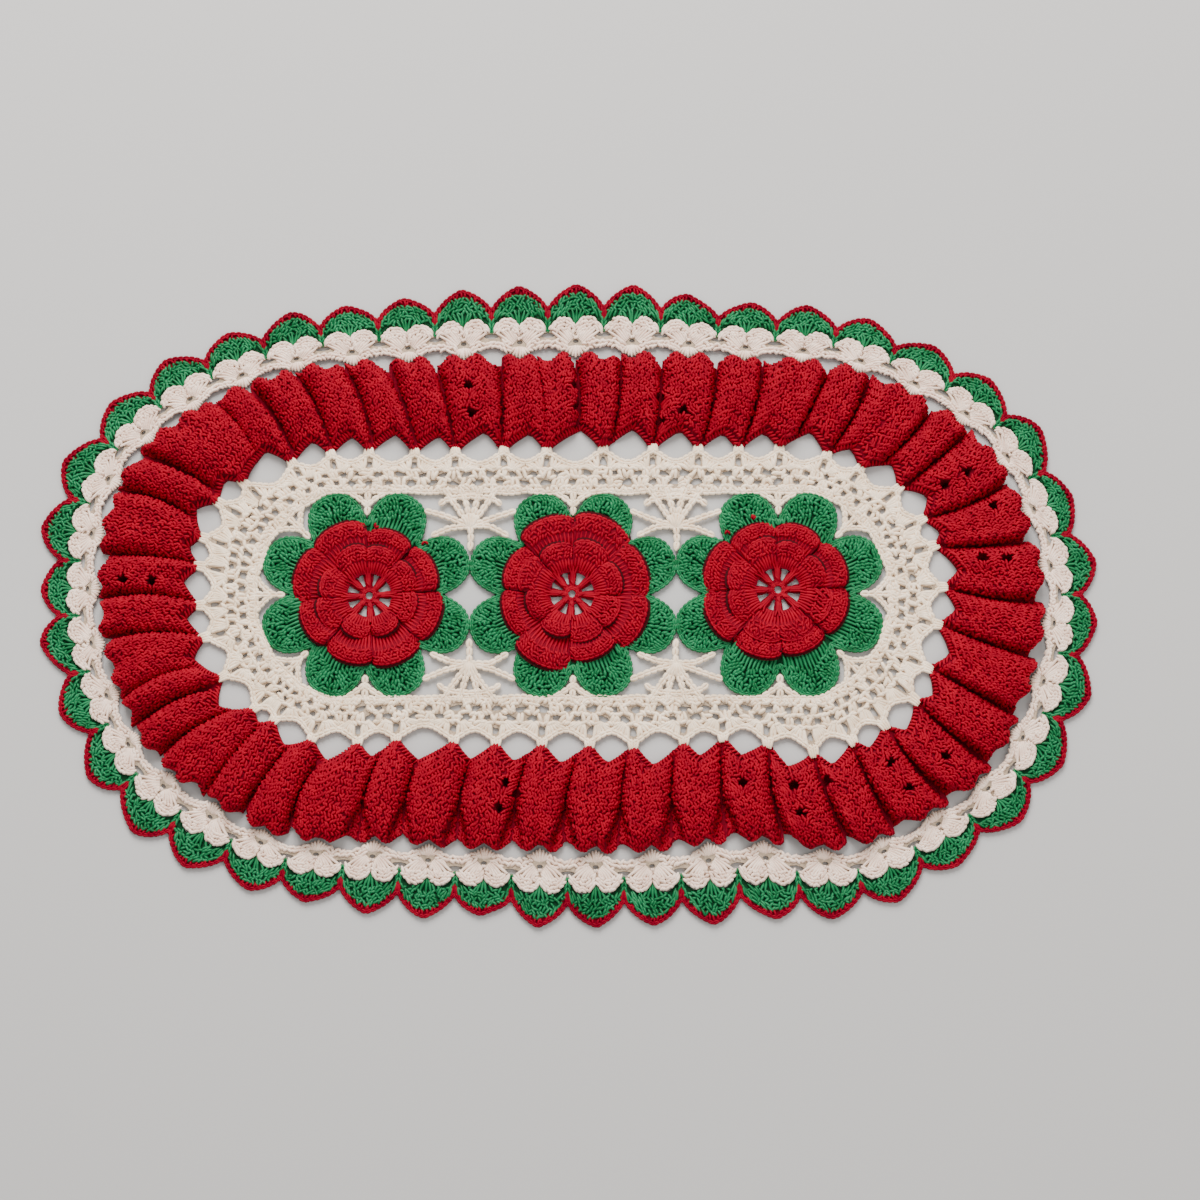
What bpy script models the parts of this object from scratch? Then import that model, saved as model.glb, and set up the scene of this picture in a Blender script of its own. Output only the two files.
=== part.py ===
"""Oval crocheted doily: three roses in a lace ground, a folded ruffle and a scalloped border.

The doily lies flat. X runs along its length, Y across it and Z up. The origin is the middle of
its underside. Sizes are in millimetres and turned to metres where meshes are made.

Places round the rings are stations: 44 of them, one for each scallop, counted anticlockwise
from the +X end by length along the ring.
"""

import random
from bisect import bisect_right
from math import cos, hypot, pi, sin

import bmesh
import bpy
from mathutils import Vector

MM = 0.001
GAP = 0.3                       # clearance between two pieces that touch

# The middle of the finished doily, which is moved to the origin
MIDDLE_X = 0.21
MIDDLE_Y = 0.25

# Ring lines: half length, half width, squareness of the corners, middle x, middle y
RUFFLE_OUTER_LINE = (176.7, 95.6, 2.9, -0.2, 1.1)
RUFFLE_INNER_LINE = (138.7, 57.0, 3.68, -0.3, 2.6)
SCALLOP_TIP_LINE = (199.1, 121.7, 2.6, 0.2, 0.2)
SCALLOPS = 44
LINE_STEPS = 3600

# Lace thickness
SHEET = 2.0                     # ground, border, fans, edging and leaves

# How far the rings stray outwards from their lines: station, scallop tips, ruffle
STRAY = (
    (0, 0.0, 3.0), (2, -3.9, -1.0), (4, -1.2, 0.0), (6, -0.4, 2.6), (8, -2.6, 0.0),
    (10, 1.2, -0.2), (12, 0.6, -1.0), (14, -1.4, -1.3), (16, -0.8, 1.0), (18, 0.6, 0.0),
    (20, 1.2, 0.6), (22, -0.3, 0.0), (24, -5.0, -4.6), (26, 0.0, -2.5), (28, -0.9, 2.5),
    (30, -1.6, -1.5), (31.6, -3.0, -0.7), (32.6, 1.0, -0.2), (34, -0.7, 0.5), (36, 0.5, -2.0), (38, 5.0, 6.5),
    (40, 0.9, 3.5), (42, -1.3, -0.6),
)

# Ruffle: one row for each fold, with the station of the fold's start on the ruffle's outer and
# inner edges, and how deep the crease at that start is (1 down to the table, 0 no crease)
FOLDS = (
    (-0.05, 0.21, 1.0), (1.06, 1.17, 1.0), (2.23, 1.90, 1.0), (3.44, 2.81, 1.0),
    (4.24, 3.55, 1.0), (5.49, 4.74, 1.0), (6.24, 5.58, 1.0), (7.45, 6.83, 1.0),
    (8.28, 7.81, 1.0), (9.29, 8.94, 1.0), (10.04, 9.95, 1.0), (10.87, 10.75, 1.0),
    (11.55, 11.55, 0.35), (12.21, 12.60, 1.0), (13.39, 13.71, 1.0), (14.27, 14.61, 1.0),
    (15.07, 15.66, 1.0), (15.97, 16.66, 1.0), (16.84, 17.55, 1.0), (17.51, 18.35, 0.4),
    (19.20, 19.50, 1.0), (19.98, 20.25, 1.0), (21.19, 21.23, 0.9), (22.00, 22.16, 0.8),
    (22.73, 22.98, 0.8), (23.93, 23.73, 0.5), (24.52, 24.35, 1.0), (25.31, 25.00, 1.0),
    (26.43, 25.80, 0.6), (27.20, 26.53, 1.0), (28.08, 27.30, 1.0), (29.31, 28.64, 0.9),
    (30.07, 29.50, 1.0), (31.05, 30.75, 1.0), (32.02, 32.10, 1.0), (32.94, 33.28, 1.0),
    (33.90, 34.45, 1.0), (34.87, 35.58, 1.0), (35.83, 36.68, 1.0), (36.85, 37.78, 1.0),
    (37.93, 38.76, 1.0), (38.77, 39.67, 1.0), (39.84, 40.55, 1.0), (40.80, 41.40, 1.0),
    (41.80, 42.25, 1.0), (42.93, 43.32, 1.0),
)
# Section of one fold: share of its width, height above the table as a share of its crown for
# the upper face, then the same two for the under face
FOLD_SECTION = (
    (0.000, 0.26, 0.000, 0.00),
    (0.025, 0.62, 0.120, 0.42),
    (0.170, 0.95, 0.240, 0.68),
    (0.500, 1.00, 0.500, 0.78),
    (0.830, 0.95, 0.760, 0.68),
    (0.975, 0.62, 0.880, 0.42),
)
# Crown of a fold from the inner to the outer edge: share of the way, height
FOLD_CROWN = ((0.0, 3.4), (0.3, 8.0), (0.76, 8.2), (1.0, 3.0))
INNER_NOTCH = 5.2               # how far the inner edge draws back in the middle of a fold
INNER_NOTCH_SLOPE = 1.15        # how fast it does so across the fold
OUTER_NOTCH = 2.8               # how far the outer edge draws back at a crease
OUTER_NOTCH_SLOPE = 3.0
EDGE_THICKNESS = 2.2
EDGE_DROP = 0.9                 # height of an edge's top, as a share of the under face inside

# Ground
GROUND_DIP = 4.4                # dip of its edge between two joins to the ruffle
GROUND_EDGE = ((0.0, 0.0), (0.07, 0.1), (0.2, 0.62), (0.5, 1.0), (0.8, 0.62), (0.93, 0.1))
WINDOW_X = 1.8                  # opening that holds the roses, with round ends
WINDOW_Y = 2.9
WINDOW_STRAIGHT = 77.8
WINDOW_HALF_WIDTH = 39.0
WINDOW_END_RADIUS = 41.6
WINDOW_ARC_STEPS = 4            # steps between two bars round an end
BAR_WIDTH = 2.3
BAR_TIP_RADIUS = 31.0           # where a bar between two leaves ends, from the rose's middle

# Spider webs between the roses, from the middle of a web: across, up
WEB_HEIGHT = 26.2               # middle of a web above or below the line through the roses
WEB_ARMS = ((17.0, 6.0), (14.3, -3.6))
WEB_FOOT = -8.9
WEB_SPREAD = (10.0, 3.6)        # where its spokes meet the rim of the window

# Roses: name, middle x and y of the leaves, hub's offset x and y, turn in degrees, seed
ROSES = (
    ("left", -76.0, 2.7, 1.2, -0.4, 4.0, 5),
    ("middle", 1.9, 2.6, -0.4, 0.4, -3.0, 11),
    ("right", 79.5, 3.0, -0.4, 1.6, 2.0, 17),
)
ROSE_LINE = 2.7
PETALS = 8
HUB_RADIUS = 12.8
HUB_OPENING_AT = 7.4
HUB_OPENING_RADIUS = 2.3
PETAL_STEPS = 3                 # steps across one petal
PETAL_THICKNESS = 1.5
# Petal layers: radius and mid height of each row from the root to the rim
INNER_PETALS = ((9.6, 1.3), (12.2, 4.6), (16.0, 6.6), (19.8, 7.6))
OUTER_PETALS = ((12.0, 1.3), (14.6, 3.4), (21.0, 4.4), (27.4, 4.9))
PETAL_NOTCH = 3.4               # how far the rim draws in between two petals
RIM_DROP = 0.5

# Leaves
LEAF_MIDDLE_RADIUS = 27.2
LEAF_HALF_WIDTH = 10.4
LEAF_REACH = 13.8
LEAF_RING_INNER = 15.6
LEAF_STEPS = 6

# Border, fans and edging: heights above the ruffle's edge, at the nominal depth of 26.3
BORDER_DEPTH = 26.3
EDGING_OUTER = ((0.0, 18.3), (0.12, 21.6), (0.3, 25.0), (0.5, 26.3), (0.7, 25.0), (0.88, 21.6))
EDGING_INNER = (
    (0.0, 14.0), (0.12, 18.6), (0.3, 22.4), (0.5, 23.8), (0.7, 22.4), (0.88, 18.6),
)
SHELLS_OUTER = ((0.0, 9.0), (0.13, 13.0), (0.34, 14.2), (0.5, 10.8), (0.66, 14.2), (0.87, 13.0))
BORDER_INNER = ((0.0, 4.7), (0.22, 3.6), (0.4, 0.5), (0.6, 0.5), (0.78, 3.6))

RED = (0.62, 0.008, 0.014, 1.0)
GREEN = (0.02, 0.30, 0.09, 1.0)
ECRU = (0.79, 0.72, 0.62, 1.0)


def clear_scene():
    for old in list(bpy.data.objects):
        bpy.data.objects.remove(old, do_unlink=True)


def make_material(name, colour, roughness):
    material = bpy.data.materials.new(name)
    material.use_nodes = True
    shader = material.node_tree.nodes["Principled BSDF"]
    shader.inputs["Base Color"].default_value = colour
    shader.inputs["Roughness"].default_value = roughness
    shader.inputs["Metallic"].default_value = 0.0
    return material


# ---------------------------------------------------------------- lines and stations

def oval_point(line, angle):
    half_length, half_width, squareness, middle_x, middle_y = line
    c, s = cos(angle), sin(angle)
    power = 2.0 / squareness
    x = half_length * abs(c) ** power * (1 if c >= 0 else -1)
    y = half_width * abs(s) ** power * (1 if s >= 0 else -1)
    return middle_x + x, middle_y + y


class RingLine:
    """An oval line whose points are found by station, measured along its length."""

    def __init__(self, line):
        self.line = line
        self.points = [oval_point(line, 2 * pi * i / LINE_STEPS) for i in range(LINE_STEPS + 1)]
        self.lengths = [0.0]
        for (x0, y0), (x1, y1) in zip(self.points, self.points[1:]):
            self.lengths.append(self.lengths[-1] + hypot(x1 - x0, y1 - y0))

    def at(self, station):
        along = (station % SCALLOPS) / SCALLOPS * self.lengths[-1]
        i = min(bisect_right(self.lengths, along) - 1, LINE_STEPS - 1)
        share = (along - self.lengths[i]) / (self.lengths[i + 1] - self.lengths[i])
        (x0, y0), (x1, y1) = self.points[i], self.points[i + 1]
        return Vector((x0 + (x1 - x0) * share, y0 + (y1 - y0) * share))

    def outward(self, station):
        half_length, half_width, squareness, middle_x, middle_y = self.line
        point = self.at(station)
        x, y = (point.x - middle_x) / half_length, (point.y - middle_y) / half_width
        slope_x = abs(x) ** (squareness - 1) * (1 if x >= 0 else -1) / half_length
        slope_y = abs(y) ** (squareness - 1) * (1 if y >= 0 else -1) / half_width
        return Vector((slope_x, slope_y)).normalized()


OUTER = RingLine(RUFFLE_OUTER_LINE)
INNER = RingLine(RUFFLE_INNER_LINE)


def smooth_table(rows, station, column):
    """Value of a column of a table whose first column is the station, eased between rows."""
    station %= SCALLOPS
    for i, row in enumerate(rows):
        after = rows[(i + 1) % len(rows)]
        start, end = row[0], after[0] if after[0] > row[0] else after[0] + SCALLOPS
        if start <= station < end:
            share = (station - start) / (end - start)
            ease = share * share * (3 - 2 * share)
            return row[column] + (after[column] - row[column]) * ease
    return rows[0][column]


def tip_distance(station):
    """Distance from the ruffle's outer line to the scallops' tips, square to the line."""
    half_length, half_width, squareness, middle_x, middle_y = SCALLOP_TIP_LINE
    point, outward = OUTER.at(station), OUTER.outward(station)
    near, far = 0.0, 60.0
    for _ in range(24):
        middle = (near + far) / 2
        x = abs(point.x + outward.x * middle - middle_x) / half_length
        y = abs(point.y + outward.y * middle - middle_y) / half_width
        if x ** squareness + y ** squareness < 1:
            near = middle
        else:
            far = middle
    return near


def scallop_start(k):
    """Station of the valley before scallop k."""
    return k + 0.19 + 0.21 * sin(2 * pi * (k - 4) / SCALLOPS)


def border_point(station, height):
    """Point at a nominal height above the ruffle's edge, from 0 to BORDER_DEPTH."""
    ruffle = smooth_table(STRAY, station, 2)
    tips = tip_distance(station) + smooth_table(STRAY, station, 1)
    offset = ruffle + height * (tips - ruffle) / BORDER_DEPTH
    return OUTER.at(station) + OUTER.outward(station) * offset


def inner_point(station, outer_station, offset):
    """Point at an offset outwards from the ruffle's inner edge."""
    stray = smooth_table(STRAY, outer_station, 2)
    return INNER.at(station) + INNER.outward(station) * (offset + stray)


def scallop_outline(table, lift=0.0):
    """Closed outline round all the scallops from a table for one of them."""
    points = []
    for k in range(SCALLOPS):
        start, end = scallop_start(k), scallop_start(k + 1)
        for share, height in table:
            points.append(border_point(start + (end - start) * share, height + lift))
    return points


# ---------------------------------------------------------------- flat pieces

def flat_curve(name, outlines, bottom, top, collection):
    """A flat piece from closed outlines: the first is its rim, the others are holes."""
    data = bpy.data.curves.new(name, "CURVE")
    data.dimensions = "2D"
    data.fill_mode = "BOTH"
    data.extrude = (top - bottom) / 2 * MM
    for outline in outlines:
        spline = data.splines.new("POLY")
        spline.points.add(len(outline) - 1)
        for point, (x, y) in zip(spline.points, outline):
            point.co = ((x - MIDDLE_X) * MM, (y - MIDDLE_Y) * MM, 0.0, 1.0)
        spline.use_cyclic_u = True
    piece = bpy.data.objects.new(name, data)
    piece.location.z = (top + bottom) / 2 * MM
    collection.objects.link(piece)
    return piece


def as_mesh(piece, collection):
    """The same piece as a welded mesh, so that it can be cut or joined."""
    bpy.context.view_layer.update()
    graph = bpy.context.evaluated_depsgraph_get()
    mesh = bpy.data.meshes.new_from_object(piece.evaluated_get(graph))
    build = bmesh.new()
    build.from_mesh(mesh)
    bmesh.ops.remove_doubles(build, verts=build.verts, dist=1e-6)
    bmesh.ops.recalc_face_normals(build, faces=build.faces)
    build.to_mesh(mesh)
    build.free()
    solid = bpy.data.objects.new(piece.name + "_solid", mesh)
    solid.matrix_world = piece.matrix_world.copy()
    collection.objects.link(solid)
    name = piece.name
    bpy.data.objects.remove(piece, do_unlink=True)
    solid.name = name
    return solid


def join(piece, other):
    """Union by a Boolean modifier; the other piece is kept as a guide."""
    step = piece.modifiers.new("Join", "BOOLEAN")
    step.operation = "UNION"
    step.solver = "EXACT"
    step.object = other
    other.hide_render = True
    other.display_type = "WIRE"


def make_edging(collection, material):
    outer = scallop_outline(EDGING_OUTER)
    inner = scallop_outline(EDGING_INNER)
    piece = flat_curve("edging", [outer, inner], 0.0, SHEET, collection)
    piece.data.materials.append(material)


def make_fans(collection, material):
    outer = scallop_outline(EDGING_INNER, -GAP * 1.6)
    inner = scallop_outline(SHELLS_OUTER, GAP)
    piece = flat_curve("fans", [outer, inner], 0.0, SHEET, collection)
    piece.data.materials.append(material)


def make_border(collection, material):
    outer = scallop_outline(SHELLS_OUTER, -GAP)
    inner = scallop_outline(BORDER_INNER)
    piece = flat_curve("border", [outer, inner], 0.0, SHEET, collection)
    piece.data.materials.append(material)


# ---------------------------------------------------------------- ground

def fold_ends(i):
    """Rows of a fold and of the next one, with the next one's stations always ahead."""
    row = FOLDS[i % len(FOLDS)]
    after = FOLDS[(i + 1) % len(FOLDS)]
    turn = SCALLOPS if i + 1 >= len(FOLDS) else 0
    return row, (after[0] + turn, after[1] + turn, after[2])


def ground_rim():
    points = []
    for i in range(len(FOLDS)):
        row, after = fold_ends(i)
        for share, depth in GROUND_EDGE:
            station = row[1] + (after[1] - row[1]) * share
            outer_station = row[0] + (after[0] - row[0]) * share
            points.append(inner_point(station, outer_station, -GAP - depth * GROUND_DIP))
    return points


def direction(degrees):
    return Vector((cos(degrees * pi / 180), sin(degrees * pi / 180)))


def across_bar(along):
    """Half a bar's width, to the left of its direction."""
    return Vector((-along.y, along.x)) * BAR_WIDTH / 2


def leaf_bar(rose, degrees, rim):
    """Bar from the window's rim in between two leaves, anticlockwise along the rim."""
    across = across_bar(direction(degrees))
    tip = Vector(rose[1:3]) + direction(degrees) * BAR_TIP_RADIUS
    return [rim - across, tip - across, tip + across, rim + across]


def crotch(one, other):
    """Where the facing sides of two bars from a web's middle meet."""
    one, other = one.normalized(), other.normalized()
    return (one + other).normalized() * (BAR_WIDTH / 2 / sin(one.angle(other) / 2))


def rim_corner(spoke, side):
    """Where a side of a web's spoke meets the rim; side 1 is the left one."""
    return Vector((spoke.x - side * BAR_WIDTH / 2 / spoke.normalized().y, spoke.y))


def web(middle_x, side):
    """A web's outline from its right spoke round to its left one, and its closed openings."""
    rise = WINDOW_HALF_WIDTH - WEB_HEIGHT + side * (WINDOW_Y - ROSE_LINE)
    spokes = [Vector((x, rise)) for x in WEB_SPREAD + tuple(-x for x in reversed(WEB_SPREAD))]
    arms = [Vector(arm) for arm in WEB_ARMS]
    left_arms = [Vector((-arm.x, arm.y)) for arm in reversed(arms)]
    arms = [*arms, Vector((0.0, WEB_FOOT)), *left_arms]
    outline = [rim_corner(spokes[0], -1), crotch(spokes[0], arms[0])]
    for arm, after in zip(arms, arms[1:] + spokes[-1:]):
        across = across_bar(arm.normalized())
        outline += [arm + across, arm - across, crotch(arm, after)]
    outline.append(rim_corner(spokes[-1], 1))
    openings = [[crotch(right, left), rim_corner(right, 1), rim_corner(left, -1)]
                for right, left in zip(spokes, spokes[1:])]
    middle_y = ROSE_LINE + side * WEB_HEIGHT
    placed = [[Vector((middle_x + p.x, middle_y + side * p.y)) for p in points]
              for points in (outline, *openings)]
    if side < 0:
        placed[0].reverse()
    return placed[0], placed[1:]


def window():
    """Outline of the roses' window with its bars and webs, and the webs' closed openings."""
    outline, openings = [], []
    for side in (1, -1):
        roses = ROSES[::-side]
        end = Vector((WINDOW_X + side * WINDOW_STRAIGHT, WINDOW_Y))
        for step in range(1, 4 * WINDOW_ARC_STEPS):
            degrees = step * 45 / WINDOW_ARC_STEPS - 90 * side
            arm = direction(degrees) * WINDOW_END_RADIUS
            arm.y = max(-WINDOW_HALF_WIDTH, min(WINDOW_HALF_WIDTH, arm.y))
            if step % WINDOW_ARC_STEPS:
                outline.append(end + arm)
            else:
                outline += leaf_bar(roses[0], degrees, end + arm)
        rim_y = WINDOW_Y + side * WINDOW_HALF_WIDTH
        for i, rose in enumerate(roses):
            outline += leaf_bar(rose, 90 * side, Vector((rose[1], rim_y)))
            if i + 1 < len(roses):
                points, holes = web((rose[1] + roses[i + 1][1]) / 2, side)
                outline += points
                openings += holes
    return [outline, *openings]


def make_ground(collection, material):
    piece = flat_curve("ground", [ground_rim(), *window()], 0.0, SHEET, collection)
    piece.data.materials.append(material)


# ---------------------------------------------------------------- leaves and roses

def leaf_outline(x, y):
    points = []
    for i in range(PETALS):
        middle = (i + 0.5) * 2 * pi / PETALS
        for step in range(LEAF_STEPS + 1):
            angle = -pi / 2 + pi * step / LEAF_STEPS
            out = LEAF_MIDDLE_RADIUS + LEAF_REACH * cos(angle)
            side = LEAF_HALF_WIDTH * sin(angle)
            points.append((x + out * cos(middle) - side * sin(middle),
                           y + out * sin(middle) + side * cos(middle)))
    return points


def circle_outline(x, y, radius, steps, turn=0.0):
    return [(x + radius * cos(turn + 2 * pi * i / steps), y + radius * sin(turn + 2 * pi * i / steps))
            for i in range(steps)]


def make_leaves(rose, collection, material):
    name, x, y = rose[:3]
    outlines = [leaf_outline(x, y), circle_outline(x, y, LEAF_RING_INNER, 24)]
    piece = flat_curve("leaves_" + name, outlines, 0.0, SHEET, collection)
    piece.data.materials.append(material)


def petal_layer(name, rows, x, y, turn, uneven, collection):
    """A ring of cupped petals: a grid rolled round the rose, given its thickness after."""
    around = PETALS * PETAL_STEPS
    build = bmesh.new()
    bmesh.ops.create_grid(build, x_segments=around, y_segments=len(rows) - 1, size=1.0)
    for vertex in build.verts:
        i = round((vertex.co.x + 1) / 2 * around)
        row = round((vertex.co.y + 1) / 2 * (len(rows) - 1))
        petal, step = divmod(i % around, PETAL_STEPS)
        share = row / (len(rows) - 1)
        radius, height = rows[row]
        lift, longer = uneven[petal]
        if step == 0:
            radius -= PETAL_NOTCH * share ** 2
            height -= RIM_DROP * share
        else:
            radius += longer * share
            height += lift * share
        angle = turn + 2 * pi * i / around
        vertex.co = ((x + radius * cos(angle) - MIDDLE_X) * MM,
                     (y + radius * sin(angle) - MIDDLE_Y) * MM, height * MM)
    bmesh.ops.remove_doubles(build, verts=build.verts, dist=1e-6)
    bmesh.ops.recalc_face_normals(build, faces=build.faces)
    mesh = bpy.data.meshes.new(name)
    build.to_mesh(mesh)
    build.free()
    piece = bpy.data.objects.new(name, mesh)
    collection.objects.link(piece)
    shell = piece.modifiers.new("Thickness", "SOLIDIFY")
    shell.thickness = PETAL_THICKNESS * MM
    shell.offset = 0.0
    return piece


def make_rose(rose, collection, guides, material):
    name, x, y, hub_x, hub_y, degrees, seed = rose
    x, y = x + hub_x, y + hub_y
    chance = random.Random(seed)
    turn = degrees * pi / 180
    outlines = [circle_outline(x, y, HUB_RADIUS, 2 * PETALS)]
    for i in range(PETALS):
        angle = turn + (i + 0.5) * 2 * pi / PETALS
        hole_x, hole_y = x + HUB_OPENING_AT * cos(angle), y + HUB_OPENING_AT * sin(angle)
        outlines.append(circle_outline(hole_x, hole_y, HUB_OPENING_RADIUS, 6, angle))
    piece = as_mesh(flat_curve("rose_" + name, outlines, 0.0, SHEET, collection), collection)
    piece.data.materials.append(material)
    for layer, rows in (("outer", OUTER_PETALS), ("inner", INNER_PETALS)):
        uneven = [(chance.uniform(-0.3, 0.6), chance.uniform(-1.2, 0.6)) for _ in range(PETALS)]
        join(piece, petal_layer(f"{name}_{layer}_petals", rows, x, y, turn, uneven, guides))


# ---------------------------------------------------------------- ruffle

def ruffle_point(i, column, row, upper):
    """Point of the ruffle: fold, column of its section, row across the band, and face."""
    start, end = fold_ends(i)
    rows = len(FOLD_CROWN) - 1
    share = FOLD_CROWN[row][0]
    top_across, top_up, under_across, under_up = FOLD_SECTION[column]
    across = top_across if upper else under_across
    up = top_up if upper else under_up
    crease = start[2] if column <= len(FOLD_SECTION) // 2 else end[2]
    flat_across = column / len(FOLD_SECTION)
    flat_up = 1.0 if upper else FOLD_SECTION[len(FOLD_SECTION) // 2][3]
    across += (flat_across - across) * (1 - crease) * (column > 0)
    up += (flat_up - up) * (1 - crease)
    crown = FOLD_CROWN[row][1]
    height = crown * up
    if row in (0, rows):
        low = max(0.0, crown * flat_up * up * EDGE_DROP - EDGE_THICKNESS)
        height = low + EDGE_THICKNESS if upper else low
    swell = 1 - abs(2 * across - 1)
    inner_station = start[1] + (end[1] - start[1]) * across
    outer_station = start[0] + (end[0] - start[0]) * across
    inner_back = INNER_NOTCH * min(1.0, swell * INNER_NOTCH_SLOPE)
    outer_back = OUTER_NOTCH * crease * max(0.0, 1 - swell * OUTER_NOTCH_SLOPE)
    inner_edge = inner_point(inner_station, outer_station, inner_back)
    outer_edge = border_point(outer_station, 0.0) - OUTER.outward(outer_station) * outer_back
    place = inner_edge.lerp(outer_edge, share)
    return ((place.x - MIDDLE_X) * MM, (place.y - MIDDLE_Y) * MM, height * MM)


def make_ruffle(collection, material):
    """One sheet in folds: a grid rolled into a ring, its section running out and back."""
    columns = len(FOLD_SECTION)
    rows = len(FOLD_CROWN)
    around = len(FOLDS) * columns
    loop = 2 * rows
    build = bmesh.new()
    bmesh.ops.create_grid(build, x_segments=around, y_segments=loop, size=1.0)
    for vertex in build.verts:
        i = round((vertex.co.x + 1) / 2 * around) % around
        j = round((vertex.co.y + 1) / 2 * loop) % loop
        upper = j < rows
        row = j if upper else loop - 1 - j
        vertex.co = ruffle_point(i // columns, i % columns, row, upper)
    bmesh.ops.remove_doubles(build, verts=build.verts, dist=1e-7)
    bmesh.ops.recalc_face_normals(build, faces=build.faces)
    mesh = bpy.data.meshes.new("ruffle")
    build.to_mesh(mesh)
    build.free()
    piece = bpy.data.objects.new("ruffle", mesh)
    piece.data.materials.append(material)
    collection.objects.link(piece)


def main():
    clear_scene()
    collection = bpy.data.collections.new("doily")
    guides = bpy.data.collections.new("doily_guides")
    bpy.context.scene.collection.children.link(collection)
    bpy.context.scene.collection.children.link(guides)
    red = make_material("red_cotton", RED, 0.75)
    green = make_material("green_cotton", GREEN, 0.7)
    ecru = make_material("ecru_cotton", ECRU, 0.85)
    for rose in ROSES:
        make_leaves(rose, collection, green)
        make_rose(rose, collection, guides, red)
    make_ground(collection, ecru)
    make_ruffle(collection, red)
    make_border(collection, ecru)
    make_fans(collection, green)
    make_edging(collection, red)


main()
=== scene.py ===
"""Looks of the oval crocheted doily: every stitch is modelled as strands of cotton yarn.

The layout is in millimetres, in stations round the oval as a maker counts the scallops, and
is turned to metres where an object is made. Each cloth is a thin sheet that replaces its solid,
with its strands lying on it.
"""

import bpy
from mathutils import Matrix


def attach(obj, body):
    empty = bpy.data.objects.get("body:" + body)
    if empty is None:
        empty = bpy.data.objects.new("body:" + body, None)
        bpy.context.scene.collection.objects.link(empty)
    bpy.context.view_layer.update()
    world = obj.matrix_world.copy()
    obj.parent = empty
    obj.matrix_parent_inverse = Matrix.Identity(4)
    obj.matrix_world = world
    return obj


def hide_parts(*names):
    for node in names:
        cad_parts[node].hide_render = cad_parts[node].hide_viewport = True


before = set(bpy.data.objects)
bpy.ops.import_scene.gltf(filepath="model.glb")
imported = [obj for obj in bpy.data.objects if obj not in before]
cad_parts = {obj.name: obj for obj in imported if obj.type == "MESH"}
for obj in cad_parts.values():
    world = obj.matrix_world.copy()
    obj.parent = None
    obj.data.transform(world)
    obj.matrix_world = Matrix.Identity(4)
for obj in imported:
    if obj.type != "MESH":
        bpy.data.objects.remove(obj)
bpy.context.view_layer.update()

import random
from bisect import bisect_right
from collections import namedtuple
from math import atan2, cos, floor, hypot, pi, radians, sin, sqrt

import bmesh
import bpy
from mathutils import Vector, noise

MM = 0.001
MIDDLE = Vector((0.21, 0.25, 0.0))      # middle of the finished doily in the layout

# ---------------------------------------------------------------- the layout, as in the solids

# Ring lines: half length, half width, squareness of the corners, middle x, middle y
RUFFLE_OUTER_LINE = (176.7, 95.6, 2.9, -0.2, 1.1)
RUFFLE_INNER_LINE = (138.7, 57.0, 3.68, -0.3, 2.6)
SCALLOP_TIP_LINE = (199.1, 121.7, 2.6, 0.2, 0.2)
SCALLOPS = 44
LINE_STEPS = 3600
BORDER_DEPTH = 26.3

# How far the rings stray outwards from their lines: station, scallop tips, ruffle
STRAY = (
    (0, 0.0, 3.0), (2, -3.9, -1.0), (4, -1.2, 0.0), (6, -0.4, 2.6), (8, -2.6, 0.0),
    (10, 1.2, -0.2), (12, 0.6, -1.0), (14, -1.4, -1.3), (16, -0.8, 1.0), (18, 0.6, 0.0),
    (20, 1.2, 0.6), (22, -0.3, 0.0), (24, -5.0, -4.6), (26, 0.0, -2.5), (28, -0.9, 2.5),
    (30, -1.6, -1.5), (31.6, -3.0, -0.7), (32.6, 1.0, -0.2), (34, -0.7, 0.5), (36, 0.5, -2.0),
    (38, 5.0, 6.5), (40, 0.9, 3.5), (42, -1.3, -0.6),
)

# Ruffle folds: station of the start on the outer and inner edges, depth of the crease there
FOLDS = (
    (-0.05, 0.21, 1.0), (1.06, 1.17, 1.0), (2.23, 1.90, 1.0), (3.44, 2.81, 1.0),
    (4.24, 3.55, 1.0), (5.49, 4.74, 1.0), (6.24, 5.58, 1.0), (7.45, 6.83, 1.0),
    (8.28, 7.81, 1.0), (9.29, 8.94, 1.0), (10.04, 9.95, 1.0), (10.87, 10.75, 1.0),
    (11.55, 11.55, 0.35), (12.21, 12.60, 1.0), (13.39, 13.71, 1.0), (14.27, 14.61, 1.0),
    (15.07, 15.66, 1.0), (15.97, 16.66, 1.0), (16.84, 17.55, 1.0), (17.51, 18.35, 0.4),
    (19.20, 19.50, 1.0), (19.98, 20.25, 1.0), (21.19, 21.23, 0.9), (22.00, 22.16, 0.8),
    (22.73, 22.98, 0.8), (23.93, 23.73, 0.5), (24.52, 24.35, 1.0), (25.31, 25.00, 1.0),
    (26.43, 25.80, 0.6), (27.20, 26.53, 1.0), (28.08, 27.30, 1.0), (29.31, 28.64, 0.9),
    (30.07, 29.50, 1.0), (31.05, 30.75, 1.0), (32.02, 32.10, 1.0), (32.94, 33.28, 1.0),
    (33.90, 34.45, 1.0), (34.87, 35.58, 1.0), (35.83, 36.68, 1.0), (36.85, 37.78, 1.0),
    (37.93, 38.76, 1.0), (38.77, 39.67, 1.0), (39.84, 40.55, 1.0), (40.80, 41.40, 1.0),
    (41.80, 42.25, 1.0), (42.93, 43.32, 1.0),
)
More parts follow.
